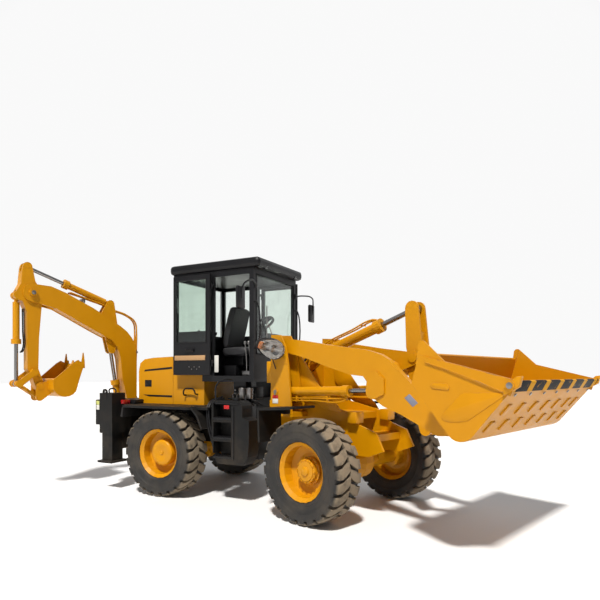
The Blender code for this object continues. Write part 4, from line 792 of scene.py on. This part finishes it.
def fit_windshield():
    """The windshield's seal and wiper, and the blank plate on the front door pillar."""
    seals = [block((GLASS_FRONT, *a), (GLASS_FRONT + 0.009, *b), 0.003)
             for a, b in edge_strips((-0.53, 1.95), (0.53, 3.02), 0.009)]
    fit(joined(seals), "windshield_seal", HOSE, "chassis")
    arm = pipe([(-0.115, 0.02, 1.93), (-0.105, -0.05, 2.05), (-0.108, -0.28, 2.40)], 0.006, 6)
    blade = block((-0.116, -0.30, 2.18), (-0.104, -0.288, 2.62), 0.002)
    motor = bar((-0.13, 0.02, 1.93), (-0.09, 0.02, 1.93), 0.02, 14, 0.004)
    fit(joined([arm, blade, motor]), "front_wiper", STEEL, "chassis")
    label = block((-0.772, -CAB_SIDE - 0.004, 1.70), (-0.705, -CAB_SIDE + 0.004, 1.935), 0.001)
    fit(label, "pillar_plate", WHITE, "chassis")


def fit_mirrors():
    """Mirrors on bent stays at both front corners, clear of the doors' swing."""
    for label, side in SIDES:
        foot_y, mirror_y = side * 0.575, side * 1.01
        stay = pipe([(-0.12, foot_y, 2.86), (-0.06, side * 0.68, 2.88), (0.0, side * 0.90, 2.87),
                     (-0.03, side * 1.0, 2.80), (-0.05, mirror_y, 2.62)], 0.011)
        foot = block((-0.134, foot_y - 0.016, 2.82), (-0.112, foot_y + 0.016, 2.90))
        fit(joined([stay, foot]), "mirror_stay_" + label, BLACK, "chassis")
        back = block((-0.085, mirror_y - 0.085, 2.50), (-0.045, mirror_y + 0.085, 2.78), 0.018)
        fit(back, "mirror_back_" + label, BLACK, "chassis")
        face = block((-0.089, mirror_y - 0.072, 2.515), (-0.084, mirror_y + 0.072, 2.765), 0.002)
        fit(face, "mirror_face_" + label, CHROME, "chassis")


def fit_roof_lamps():
    """Two round lamps forward and two backward under the roof's edge."""
    for end, x, aim in (("front", -0.10, 1), ("rear", -1.48, -1)):
        for label, side in SIDES:
            y, rim = side * 0.42, x + aim * 0.055
            name = "%s_%s" % (end, label)
            case = bar((x, y, ROOF_LAMP_Z), (rim, y, ROOF_LAMP_Z), 0.05, 20, 0.006)
            fit(case, "roof_lamp_case_" + name, BLACK, "chassis")
            lens = revolve([(0.001, 0), (0.001, 0.012), (0.030, 0.009), (0.043, 0.002), (0.043, -0.004)],
                           24, "X", (rim, y, ROOF_LAMP_Z))
            if aim < 0:
                turned = Matrix.Translation((rim, y, ROOF_LAMP_Z)) @ Matrix.Scale(-1, 4, (1, 0, 0))
                lens.data.transform(turned @ Matrix.Translation((-rim, -y, -ROOF_LAMP_Z)))
                tidy(lens)
            fit(lens, "roof_lamp_lens_" + name, CLEAR, "chassis")


def fit_grab_rails():
    """A grab rail on each front corner of the cab."""
    for label, side in SIDES:
        y = side * 0.575
        rail = pipe([(-0.134, y, 2.02), (-0.085, y, 2.05), (-0.085, y, 2.62), (-0.134, y, 2.65)], 0.011)
        fit(rail, "grab_rail_" + label, BLACK, "chassis")


fit_doors()
fit_windshield()
fit_mirrors()
fit_roof_lamps()
fit_grab_rails()


# Cab inside: seat, levers, dashboard

def cushion(low, high, crown, grooves):
    """A crowned, seamed cushion between two corners, with sewn channels across it."""
    low, high = Vector(low), Vector(high)
    pad = box_between(low, high)
    only(pad)
    bpy.ops.object.mode_set(mode="EDIT")
    bpy.ops.mesh.select_all(action="SELECT")
    bpy.ops.mesh.subdivide(number_cuts=14)
    bpy.ops.object.mode_set(mode="OBJECT")
    middle, size = (low + high) / 2, (high - low) / 2
    for corner in pad.data.vertices:
        u = (corner.co.x - middle.x) / size.x
        v = (corner.co.y - middle.y) / size.y
        w = (corner.co.z - middle.z) / size.z
        pull = 1 - 0.10 * (abs(u) ** 4 * abs(w) ** 2) - 0.06 * abs(v) ** 6
        corner.co.y = middle.y + (corner.co.y - middle.y) * pull
        corner.co.x = middle.x + (corner.co.x - middle.x) * (1 - 0.07 * abs(v) ** 4 - 0.05 * w * w)
        if w > 0:
            swell = crown * (1 - abs(u) ** 3) * (1 - abs(v) ** 3)
            for at in grooves:
                swell -= 0.010 * math.exp(-((u - at) / 0.05) ** 2) * (1 - abs(v) ** 8)
            corner.co.z += w * swell
    soft = pad.modifiers.new("smooth", "SUBSURF")
    soft.levels = soft.render_levels = 1
    bpy.ops.object.modifier_apply(modifier=soft.name)
    return pad


def fit_seat():
    """Cushion, backrest and base of the operator's seat."""
    crown = 0.022
    seat = cushion((-0.93, -0.235, 1.955), (-0.50, 0.235, 2.055), crown, (-0.45, 0.0, 0.45))
    fit(seat, "seat_cushion", VINYL, "chassis", smooth=60)
    lean = Matrix.Translation((-0.90, 0, 2.06)) @ Matrix.Rotation(math.radians(-75), 4, "Y")
    back = cushion((0.0, -0.22, -0.05), (0.62, 0.22, 0.05), crown, (-0.5, -0.15, 0.2, 0.55))
    back.data.transform(lean)
    fit(back, "seat_back", VINYL, "chassis", smooth=60)
    base = joined([block((-0.98, -0.16, CAB_FLOOR), (-0.72, 0.16, 1.80), 0.012),
                   block((-0.95, -0.12, 1.80), (-0.62, 0.12, 1.94), 0.01),
                   bar((-0.90, -0.20, 1.945), (-0.54, -0.20, 1.945), 0.012, 10, 0.003),
                   bar((-0.90, 0.20, 1.945), (-0.54, 0.20, 1.945), 0.012, 10, 0.003)])
    fit(base, "seat_base", BLACK, "chassis")
    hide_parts("operator_seat")


def fit_controls():
    """Loader levers beside the seat, the dashboard, and the digging arm's levers at the rear window."""
    levers = []
    for x in (-0.42, -0.36, -0.30):
        y = -0.33
        levers.append(pipe([(x, y, 1.66), (x, y, 1.85), (x - 0.03, y + 0.01, 2.10)], 0.009))
        levers.append(bar((x - 0.03, y + 0.01, 2.09), (x - 0.035, y + 0.012, 2.14), 0.02, 16, 0.008))
    levers.append(block((-0.47, -0.38, CAB_FLOOR), (-0.25, -0.27, 1.72), 0.01))
    fit(joined(levers), "loader_levers", STEEL, "chassis")
    dash = joined([block((-0.30, -0.20, 2.10), (-0.20, 0.20, 2.26), 0.02),
                   block((-0.27, -0.15, 1.75), (-0.20, 0.15, 2.12), 0.01)])
    fit(dash, "dashboard", BLACK, "chassis")
    dials = [bar((-0.302, y, 2.19), (-0.295, y, 2.19), 0.035, 20, 0.002) for y in (-0.11, 0.0, 0.11)]
    fit(joined(dials), "dash_dials", WHITE, "chassis")
    levers = []
    for i in range(4):
        y = -0.21 + 0.14 * i
        levers.append(pipe([(-1.38, y, 2.02), (-1.38, y, 2.16), (-1.35, y, 2.30)], 0.008))
        levers.append(bar((-1.352, y, 2.29), (-1.345, y, 2.335), 0.018, 14, 0.007))
    levers.append(block((-1.44, -0.27, 2.001), (-1.32, 0.27, 2.04), 0.008))
    fit(joined(levers), "backhoe_levers", BLACK, "chassis")


fit_seat()
fit_controls()


# Tanks, ladders and stabilizers

def fit_tanks():
    """Ladder steps, caps, ribs and signs on the tanks, and a rail, mud flap and tail lamp on each side."""
    for label, side in SIDES:
        rungs = []
        for z in (0.595, 0.845, 1.095):
            near, far = sorted((side * 0.80, side * 0.955))
            rungs.append(block((-0.535, near, z - 0.012), (-0.245, far, z + 0.012)))
            for i in range(6):
                x = -0.52 + 0.045 * i
                rungs.append(block((x, near + 0.02, z + 0.010), (x + 0.02, far - 0.02, z + 0.018), 0.002))
        fit(joined(rungs), "ladder_rungs_" + label, BLACK, "chassis")
        y = side * 0.84
        knob = bar((-0.195, y, 1.335), (-0.195, y, 1.36), 0.006, 8)
        cap = joined([bar((-0.24, y, 1.325), (-0.24, y, 1.365), 0.05, 24, 0.006),
                      around(knob, 10, (-0.24, y, 0), "Z")])
        fit(cap, "tank_cap_" + label, BLACK, "chassis")
        face = side * TANK_FACE
        ribs = [block((-0.50, face, 1.285), (-0.14, face + side * 0.012, 1.30), 0.003),
                block((-0.22, face, 0.58), (-0.205, face + side * 0.012, 1.25), 0.003)]
        fit(joined(ribs), "tank_ribs_" + label, BLACK, "chassis")
        sign = block((-0.36, face, 1.225), (-0.28, face + side * 0.003, 1.272), 0.001)
        fit(sign, "tank_sign_" + label, RED, "chassis")
        rail = pipe([(-0.50, side * 0.93, 1.33), (-0.50, side * 0.945, 1.42), (-0.47, side * 0.945, 1.55),
                     (-0.40, side * 0.90, 1.60), (-0.34, side * 0.80, 1.60)], 0.011)
        fit(rail, "step_rail_" + label, BLACK, "chassis")
        outline = [(-2.10, 1.07), (-2.07, 1.205), (-2.045, 1.205), (-2.06, 1.06)]
        flap = plate(outline, side * 0.70, side * 1.045, 0.004)
        fit(flap, "rear_flap_" + label, HOSE, "chassis")
        lamp = block((-2.19, side * 0.88 - 0.07, 1.24), (-2.14, side * 0.88 + 0.07, 1.30), 0.008)
        fit(lamp, "tail_lamp_" + label, TAIL_RED, "chassis")


def fit_stabilizers():
    """Blank pale plates, arch handles and guides on the stabilizer housings, and a valve box."""
    for label, side in SIDES:
        y, near, far = side * STABILIZER_Y, side * 1.068, side * 1.073
        sign = block((-2.55, near, 1.155), (-2.49, far, 1.225), 0.001)
        fit(sign, "stabilizer_sign_" + label, WHITE, "chassis")
        sign = block((-2.55, near, 1.228), (-2.49, far, 1.285), 0.001)
        fit(sign, "stabilizer_lime_" + label, LIME, "chassis")
        arch = pipe([(-2.41, y, 1.40), (-2.41, y, 1.44), (-2.345, y, 1.465), (-2.28, y, 1.44),
                     (-2.28, y, 1.40)], 0.011)
        fit(arch, "stabilizer_arch_" + label, BLACK, "chassis")
        eye = pipe([(-2.54, y, 1.295), (-2.54, y, 1.34), (-2.50, y, 1.355), (-2.475, y, 1.33),
                    (-2.475, y, 1.295)], 0.012)
        guide = joined([block((-2.572, y - 0.11, 0.935), (-2.468, y + 0.11, 1.30), 0.01), eye])
        fit(guide, "stabilizer_guide_" + label, CHASSIS_BLACK, "chassis")
    box = block((-2.20, -0.80, 1.237), (-2.06, -0.62, 1.30), 0.01)
    fit(box, "valve_box", BLACK, "chassis")


fit_tanks()
fit_stabilizers()


# Valves, filters and hoses between the frame and the cab's floor

def fit_under_cab():
    """Valve bank with spools, a dark plate painted in as shade under the cab, oil filters, hoses and the
    ladders' bent braces.
    """
    bank = joined([block((-0.52, -0.50, 1.345), (-0.16, -0.30, 1.50), 0.012),
                   block((-0.56, 0.30, 1.345), (-0.16, 0.50, 1.52), 0.012),
                   block((-0.60, -0.52, 1.325), (-0.12, 0.52, 1.345))])
    fit(bank, "valve_bank", CHASSIS_BLACK, "chassis")
    # A dark plate that stands in for shade under the cab, so the floor behind does not show through the gap; no
    # such part is known there.
    shade_plate = block((-0.34, -0.50, 1.12), (-0.32, 0.50, 1.64))
    fit(shade_plate, "shade_plate_under_cab", CHASSIS_BLACK, "chassis")
    spool_places = [-0.48 + 0.07 * i for i in range(5)]
    spools = []
    for x in spool_places:
        spools.append(bar((x, -0.505, 1.40), (x, -0.54, 1.40), 0.018, 12, 0.004))
        spools.append(bar((x, -0.505, 1.455), (x, -0.53, 1.455), 0.012, 6, 0.002))
    fit(joined(spools), "valve_spools", STEEL, "chassis")
    filters = [bar((x, -0.62, 1.345), (x, -0.62, 1.49), 0.045, 20, 0.008) for x in (-0.30, -0.18)]
    fit(joined(filters), "oil_filters", STEEL, "chassis")
    hoses = []
    for i, x in enumerate(spool_places):
        dip = 1.34 - 0.05 * (i % 2)
        hoses.append(pipe([(x, -0.53, 1.40), (x + 0.01, -0.60, 1.38), (x + 0.05, -0.62, dip),
                           (x + 0.10, -0.56, 1.30), (x + 0.12, -0.45, 1.25)], 0.013))
        hoses.append(pipe([(x, 0.50, 1.40), (x + 0.01, 0.57, 1.38), (x + 0.05, 0.60, dip),
                           (x + 0.10, 0.55, 1.30), (x + 0.12, 0.45, 1.25)], 0.013))
    fit(joined(hoses), "valve_hoses", HOSE, "chassis")
    for label, side in SIDES:
        braces = []
        for i, x in enumerate((-0.66, -0.63)):
            braces.append(pipe([(x + 0.02, side * 0.60, 1.36 - 0.02 * i), (x - 0.01, side * 0.86, 1.28),
                                (x + 0.02, side * 0.93, 1.05),
                                (x + 0.10, side * 0.94, 0.78 + 0.05 * i)], 0.013))
        fit(joined(braces), "ladder_braces_" + label, BLACK, "chassis")


fit_under_cab()


# Front frame: lamps, signs, tubes, braces and hoses

def fit_headlamp(label, side):
    """A slanted almond lamp: black case, chrome bowl and reflectors, clear lens, amber corner and stay."""
    turn = Matrix.Rotation(side * math.radians(24), 4, "Z") @ Matrix.Rotation(side * math.radians(18), 4, "X")
    place = Matrix.Translation((0.53, side * 0.77, 2.0)) @ turn @ Matrix.Rotation(math.radians(12), 4, "Y")
    swap_axes = Matrix(((0, 1, 0, 0), (1, 0, 0, 0), (0, 0, 1, 0), (0, 0, 0, 1)))
    almond = []
    for i in range(20):
        t = 2 * math.pi * i / 20
        almond.append((0.185 * math.cos(t), 0.125 * math.sin(t) * (1 - 0.35 * math.cos(t) * side) ** 0.7))
    layers = (("headlamp_case_", -0.075, 0.030, 1.0, 0.012, BLACK),
              ("headlamp_bowl_", 0.026, 0.034, 0.90, 0.004, CHROME),
              ("headlamp_lens_", 0.066, 0.072, 0.95, 0.004, CLEAR))
    for name, back, front, grow, soft, material in layers:
        piece = plate([(y * grow, z * grow) for y, z in almond], back, front, soft)
        piece.data.transform(swap_axes)
        tidy(piece)
        piece.data.transform(place)
        fit(piece, name + label, material, "front", smooth=50)
    dish = [(0.001, -0.01), (0.030, -0.008), (0.056, 0.012), (0.060, 0.012), (0.060, 0.006),
            (0.032, -0.014), (0.001, -0.016)]
    bowls = joined([revolve(dish, 24, "X", (0.045, y, 0.0)) for y in (-0.065, 0.06)])
    bowls.data.transform(place)
    fit(bowls, "headlamp_reflectors_" + label, CHROME, "front", smooth=60)
    amber = block((0.034, side * 0.11, -0.045), (0.056, side * 0.165, 0.04), 0.008)
    amber.data.transform(place)
    fit(amber, "indicator_" + label, AMBER, "front", smooth=50)
    arm = pipe([(0.53, side * 0.62, 1.90), (0.53, side * 0.70, 1.90), (0.52, side * 0.75, 1.94)], 0.016)
    wire = pipe([(0.47, side * 0.76, 1.99), (0.44, side * 0.70, 1.93), (0.45, side * 0.64, 1.84),
                 (0.47, side * 0.615, 1.74)], 0.007)
    stay = fit(joined([arm, wire]), "headlamp_stay_" + label, BLACK, "front")
    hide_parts("headlamp_" + label)


def fit_towers():
    """Blank signs, seams and pin caps on the towers, signs on the arms and tubes on the lift cylinders."""
    for label, side in SIDES:
        face = side * TOWER_FACE
        near, far = face - side * 0.004, face + side * 0.003
        fit(block((0.40, near, 1.30), (0.50, far, 1.36), 0.001), "tower_sign_white_" + label, WHITE, "front")
        fit(block((0.40, near, 1.362), (0.50, far, 1.405), 0.001), "tower_sign_red_" + label, RED, "front")
        seam = block((0.37, face, 1.806), (0.672, face + side * 0.004, 1.816), 0.002)
        fit(seam, "tower_seam_" + label, YELLOW, "front")
        caps = []
        near, far = side * 0.610, side * 0.622
        for x, z, radius in ((0.45, 2.03, 0.034), (0.46, 1.45, 0.026)):
            caps.append(bar((x, near, z), (x, far, z), radius, 24, 0.004))
            caps.append(block((x - 0.012, far - 0.004, z - radius * 1.6),
                              (x + 0.012, far + side * 0.003, z - radius * 0.2), 0.002))
            bolt_z = z - radius * 1.35
            caps.append(bar((x, near, bolt_z), (x, far + side * 0.006, bolt_z), 0.008, 6, 0.001))
        fit(joined(caps), "tower_pins_" + label, STEEL, "front")
        face = side * (ARM_Y + 0.035)
        outline = [(2.325, 1.425), (2.425, 1.335), (2.485, 1.38), (2.385, 1.47)]
        sign = plate(outline, face - 0.002, face + 0.002, 0.001)
        fit(sign, "arm_sign_" + label, SLATE, "lift_arm")
        y = side * (ARM_Y + 0.02)
        lines = [pipe([(0.60, y, 1.37 - drop), (1.0, y, 1.38 - drop), (1.50, y, 1.395 - drop),
                       (1.55, side * (ARM_Y + 0.015), 1.41)], 0.010) for drop in (0.0, 0.03)]
        clips = [block((x, y - 0.016, 1.33), (x + 0.02, y + 0.016, 1.42), 0.003) for x in (0.75, 1.25)]
        fit(joined(lines + clips), "lift_tubes_" + label, YELLOW, "lift_%s_barrel" % label)


def fit_braces():
    """Boxes behind the towers, and the inner brace plates with their ribs and feet."""
    outline = [(0.58, 2.0), (0.70, 1.90), (1.02, 1.52), (1.30, 1.30), (1.36, 1.22), (1.05, 1.26),
               (0.74, 1.42), (0.62, 1.6)]
    for label, side in SIDES:
        box = block((0.265, side * 0.405, 1.56), (0.372, side * 0.585, 1.84), 0.01)
        fit(box, "tower_box_" + label, YELLOW, "front")
        brace = plate(outline, side * 0.372, side * 0.392, 0.004)
        rib = block((0.74, side * 0.30, 1.36), (1.40, side * 0.39, 1.385))
        foot = block((1.46, side * 0.25, 1.10), (1.59, side * 0.40, 1.235), 0.008)
        fit(joined([brace, rib, foot]), "tower_brace_" + label, YELLOW, "front")


def fit_tilt_lines():
    """Tubes over the tilt cylinder and the hoses that feed them."""
    base = Vector((0.52, 0, 1.87))
    axis = (Vector((2.13, 0, 2.42)) - base).normalized()
    normal = Vector((-axis.z, 0, axis.x))
    tubes = []
    for y in (-0.035, 0.035):
        knots = ((0.22, 0.085), (0.35, 0.105), (0.8, 0.105), (1.12, 0.105), (1.18, 0.08))
        shift = Vector((0, y, 0))
        tubes.append(pipe([base + axis * along + normal * up + shift for along, up in knots], 0.011))
    for along in (0.45, 0.95):
        middle = base + axis * along + normal * 0.105
        tubes.append(bar(middle + Vector((0, -0.06, 0)), middle + Vector((0, 0.06, 0)), 0.008, 8))
    fit(joined(tubes), "tilt_tubes", YELLOW, "tilt_barrel")
    hoses = [pipe([(0.40, side * 0.16, 1.72), (0.56, side * 0.16, 1.86), (0.64, side * 0.08, 2.0),
                   (0.72, side * 0.04, 2.035)], 0.014) for label, side in SIDES]
    fit(joined(hoses), "tilt_hoses", HOSE, "front")


for label, side in SIDES:
    fit_headlamp(label, side)
fit_towers()
fit_braces()
fit_tilt_lines()


# Loader bucket: lip band, wear strips, bolts, side patches and corner teeth

def floor_of_bucket():
    """The matrix from (along, across, out of) the floor to the bucket's underside, and its length."""
    lip = Vector((3.72, 0, 1.62))
    bend = math.radians(318)
    heel = Vector((3.225 + 0.14 * math.cos(bend), 0, 1.24 + 0.14 * math.sin(bend)))
    along = (lip - heel).normalized()
    matrix = Matrix(((along.x, 0, along.z, heel.x), (0, 1, 0, 0),
                     (along.z, 0, -along.x, heel.z), (0, 0, 0, 1)))
    return matrix, (lip - heel).length


def fit_bucket_floor():
    """The striped band on the lip, two staggered rows of wear strips and a row of bolts."""
    underside, reach = floor_of_bucket()

    def on_floor(piece):
        """The piece laid against the underside."""
        piece.data.transform(underside)
        return tidy(piece)

    def strip(start, end, near, far):
        """A flat strip on the underside, its length along the floor."""
        return on_floor(block((start, near, -0.006), (end, far, 0.012), 0.003))

    fit(strip(reach - 0.105, reach + 0.004, -1.098, 1.098), "lip_band", HAZARD, "loader_bucket")
    strips = []
    for i in range(7):
        y = -0.93 + 0.31 * i
        strips.append(strip(0.05, 0.17, y - 0.04, y + 0.04))
        shift = 0.06 if i < 6 else 0.0
        strips.append(strip(0.24, 0.36, y + shift - 0.04, y + shift + 0.04))
    fit(joined(strips), "wear_strips", BUCKET_YELLOW, "loader_bucket")
    bolts = []
    for i in range(7):
        y = -0.99 + 0.33 * i
        bolt = bar((0, y, 0.010), (0, y, 0.020), 0.016, 12, 0.003)
        bolt.data.transform(Matrix.Translation((reach - 0.135, 0, 0)))
        bolts.append(on_floor(bolt))
    fit(joined(bolts), "lip_bolts", STEEL, "loader_bucket")


def fit_bucket_sides():
    """Pads, patches, seams, pins and corner teeth on the bucket's sides, and the bar along its crest."""
    pad = [(2.948, 1.575), (2.975, 1.60), (3.10, 1.595), (3.135, 1.565), (3.12, 1.535), (2.965, 1.548)]
    patch = [(3.245, 1.515), (3.07, 1.34), (3.055, 1.30), (3.075, 1.275), (3.14, 1.262),
             (3.225, 1.272), (3.30, 1.285), (3.62, 1.515), (3.60, 1.53)]
    tooth = [(3.60, 1.50), (3.725, 1.575), (3.745, 1.66), (3.70, 1.655), (3.60, 1.56)]
    for label, side in SIDES:
        piece = plate(pad, side * (BUCKET_SIDE - 0.001), side * (BUCKET_SIDE + 0.011), 0.004)
        fit(piece, "side_pad_" + label, BUCKET_YELLOW, "loader_bucket")
        piece = plate(patch, side * BUCKET_SIDE, side * (BUCKET_SIDE + 0.008), 0.003)
        fit(piece, "side_patch_" + label, BUCKET_YELLOW, "loader_bucket")
        y = side * (BUCKET_SIDE + 0.015)
        seam = pipe([(2.90, y, 1.781), (3.20, y, 1.684), (3.52, y, 1.562), (3.60, y, 1.53)], 0.004, 6)
        fit(seam, "side_seam_" + label, BUCKET_YELLOW, "loader_bucket")
        pin = joined([bar((3.655, side * 1.13, 1.585), (3.655, side * 1.143, 1.585), 0.026, 20, 0.004),
                      bar((3.655, side * 1.14, 1.585), (3.655, side * 1.150, 1.585), 0.012, 6, 0.002)])
        fit(pin, "corner_pin_" + label, STEEL, "loader_bucket")
        piece = plate(tooth, side * 1.075, side * 1.125, 0.006)
        fit(piece, "corner_tooth_" + label, BUCKET_YELLOW, "loader_bucket")
    rim = pipe([(2.835, -1.09, 1.852), (2.835, 1.09, 1.852)], 0.016, straight=True)
    fit(rim, "crest_bar", BUCKET_YELLOW, "loader_bucket")


fit_bucket_floor()
fit_bucket_sides()


# Backhoe: hoses over the boom, pin caps and dipper tubes

def fit_backhoe():
    """Hoses along the boom, the swing post and the dipper, their clamps and the pins' caps."""
    hoses = []
    for i, y in enumerate((-0.045, -0.015, 0.015, 0.045)):
        grow = 0.012 * (i % 2)
        hoses.append(pipe([(-1.25, y, 2.90), (-0.95, y, 2.82 + grow), (-0.72, y, 2.76 + grow),
                           (-0.556, y, 2.692 + grow), (-0.333, y, 2.63 + grow), (-0.194 + grow, y, 2.533),
                           (-0.165 + grow, y, 2.36), (-0.165, y, 2.16), (-0.172, y, 1.9)], 0.011))
    fit(joined(hoses), "boom_hoses", YELLOW, "boom")
    clamps = [block((-0.20, -0.075, 2.02), (-0.155, 0.075, 2.05)),
              block((-1.07, -0.06, 2.765), (-1.03, 0.06, 2.825))]
    fit(joined(clamps), "hose_clamps", STEEL, "boom")
    runs = [pipe([(-0.165, y, 1.92), (-0.168, y, 1.6), (-0.165, y, 1.35), (-0.13, y, 1.24)], 0.010)
            for y in (-0.02, 0.02)]
    fit(joined(runs), "post_hoses", HOSE, "boom")
    count = 0
    for body, x, z, out, radius in (("boom", -1.80, 2.83, 0.132, 0.030),
                                    ("swing_post", -0.255, 1.06, 0.148, 0.028),
                                    ("swing_post", -0.40, 0.80, 0.148, 0.024)):
        for label, side in SIDES:
            y = side * out
            cap = joined([bar((x, y - side * 0.006, z), (x, y + side * 0.010, z), radius, 20, 0.003),
                          bar((x, y, z), (x, y + side * 0.016, z), 0.010, 6, 0.001)])
            count += 1
            fit(cap, "pin_cap_%d" % count, STEEL, body)
    tubes = [pipe([(-1.9, y, 2.60), (-1.895, y, 2.3), (-1.90, y, 2.02), (-1.93, y, 1.98)], 0.009)
             for y in (-0.03, 0.03)]
    fit(joined(tubes), "dipper_tubes", HOSE, "dipper")


fit_backhoe()


# Floor and light

def make_floor():
    """A pale plain floor just under the tyres."""
    clear_selection()
    bpy.ops.mesh.primitive_plane_add(size=160, location=(0, 0, -0.002))
    floor = bpy.context.object
    floor.name = "pale_floor"
    made, tree, shader, coords = start_material("pale_floor")
    tone = blend_colours(tree, noise(tree, coords, 0.6, 3), (0.76, 0.76, 0.757), (0.80, 0.80, 0.797))
    tree.links.new(tone, shader.inputs["Base Color"])
    shader.inputs["Roughness"].default_value = 0.85
    floor.data.materials.append(made)


def make_studio():
    """A world that is bright behind the machine and at the horizon, and dim above and in front."""
    world = bpy.data.worlds.new("studio")
    bpy.context.scene.world = world
    world.use_nodes = True
    tree = world.node_tree
    ways = add(tree, "ShaderNodeTexCoord")
    toward = add(tree, "ShaderNodeVectorMath", operation="DOT_PRODUCT")
    toward.inputs[1].default_value = (-0.46, 0.89, 0.0)
    tree.links.new(ways.outputs["Generated"], toward.inputs[0])
    wall = spread(tree, toward.outputs["Value"], -0.1, 0.75)
    height = add(tree, "ShaderNodeSeparateXYZ")
    tree.links.new(ways.outputs["Generated"], height.inputs[0])
    band = spread(tree, height.outputs["Z"], 0.02, 0.20, 0.75, 0.0)
    tone = blend_colours(tree, sums(tree, "MAXIMUM", wall, band), (0.10, 0.105, 0.12), (0.95, 0.95, 0.95))
    sky = tree.nodes["Background"]
    sky.inputs["Strength"].default_value = 1.0
    tree.links.new(tone, sky.inputs["Color"])


def make_lights():
    """A high sun from the machine's right and a wide soft fill, both aimed at its middle."""
    sun = bpy.data.lights.new("key", "SUN")
    sun.energy = 4.6
    sun.angle = math.radians(5)
    sun.color = (1.0, 0.97, 0.93)
    fill = bpy.data.lights.new("fill", "AREA")
    fill.shape = "SQUARE"
    fill.size = 8.0
    fill.energy = 70
    fill.color = (0.96, 0.98, 1.0)
    target = origin + Vector((0, 0, 1.2))
    for lamp, place in ((sun, (2.6, -8.6, 15.0)), (fill, (-4.0, -11.0, 6.0))):
        made = bpy.data.objects.new(lamp.name, lamp)
        bpy.context.scene.collection.objects.link(made)
        made.location = origin + Vector(place)
        made.rotation_euler = (target - made.location).to_track_quat("-Z", "Y").to_euler()


make_floor()
make_studio()
make_lights()
bpy.context.scene.view_settings.view_transform = "Standard"
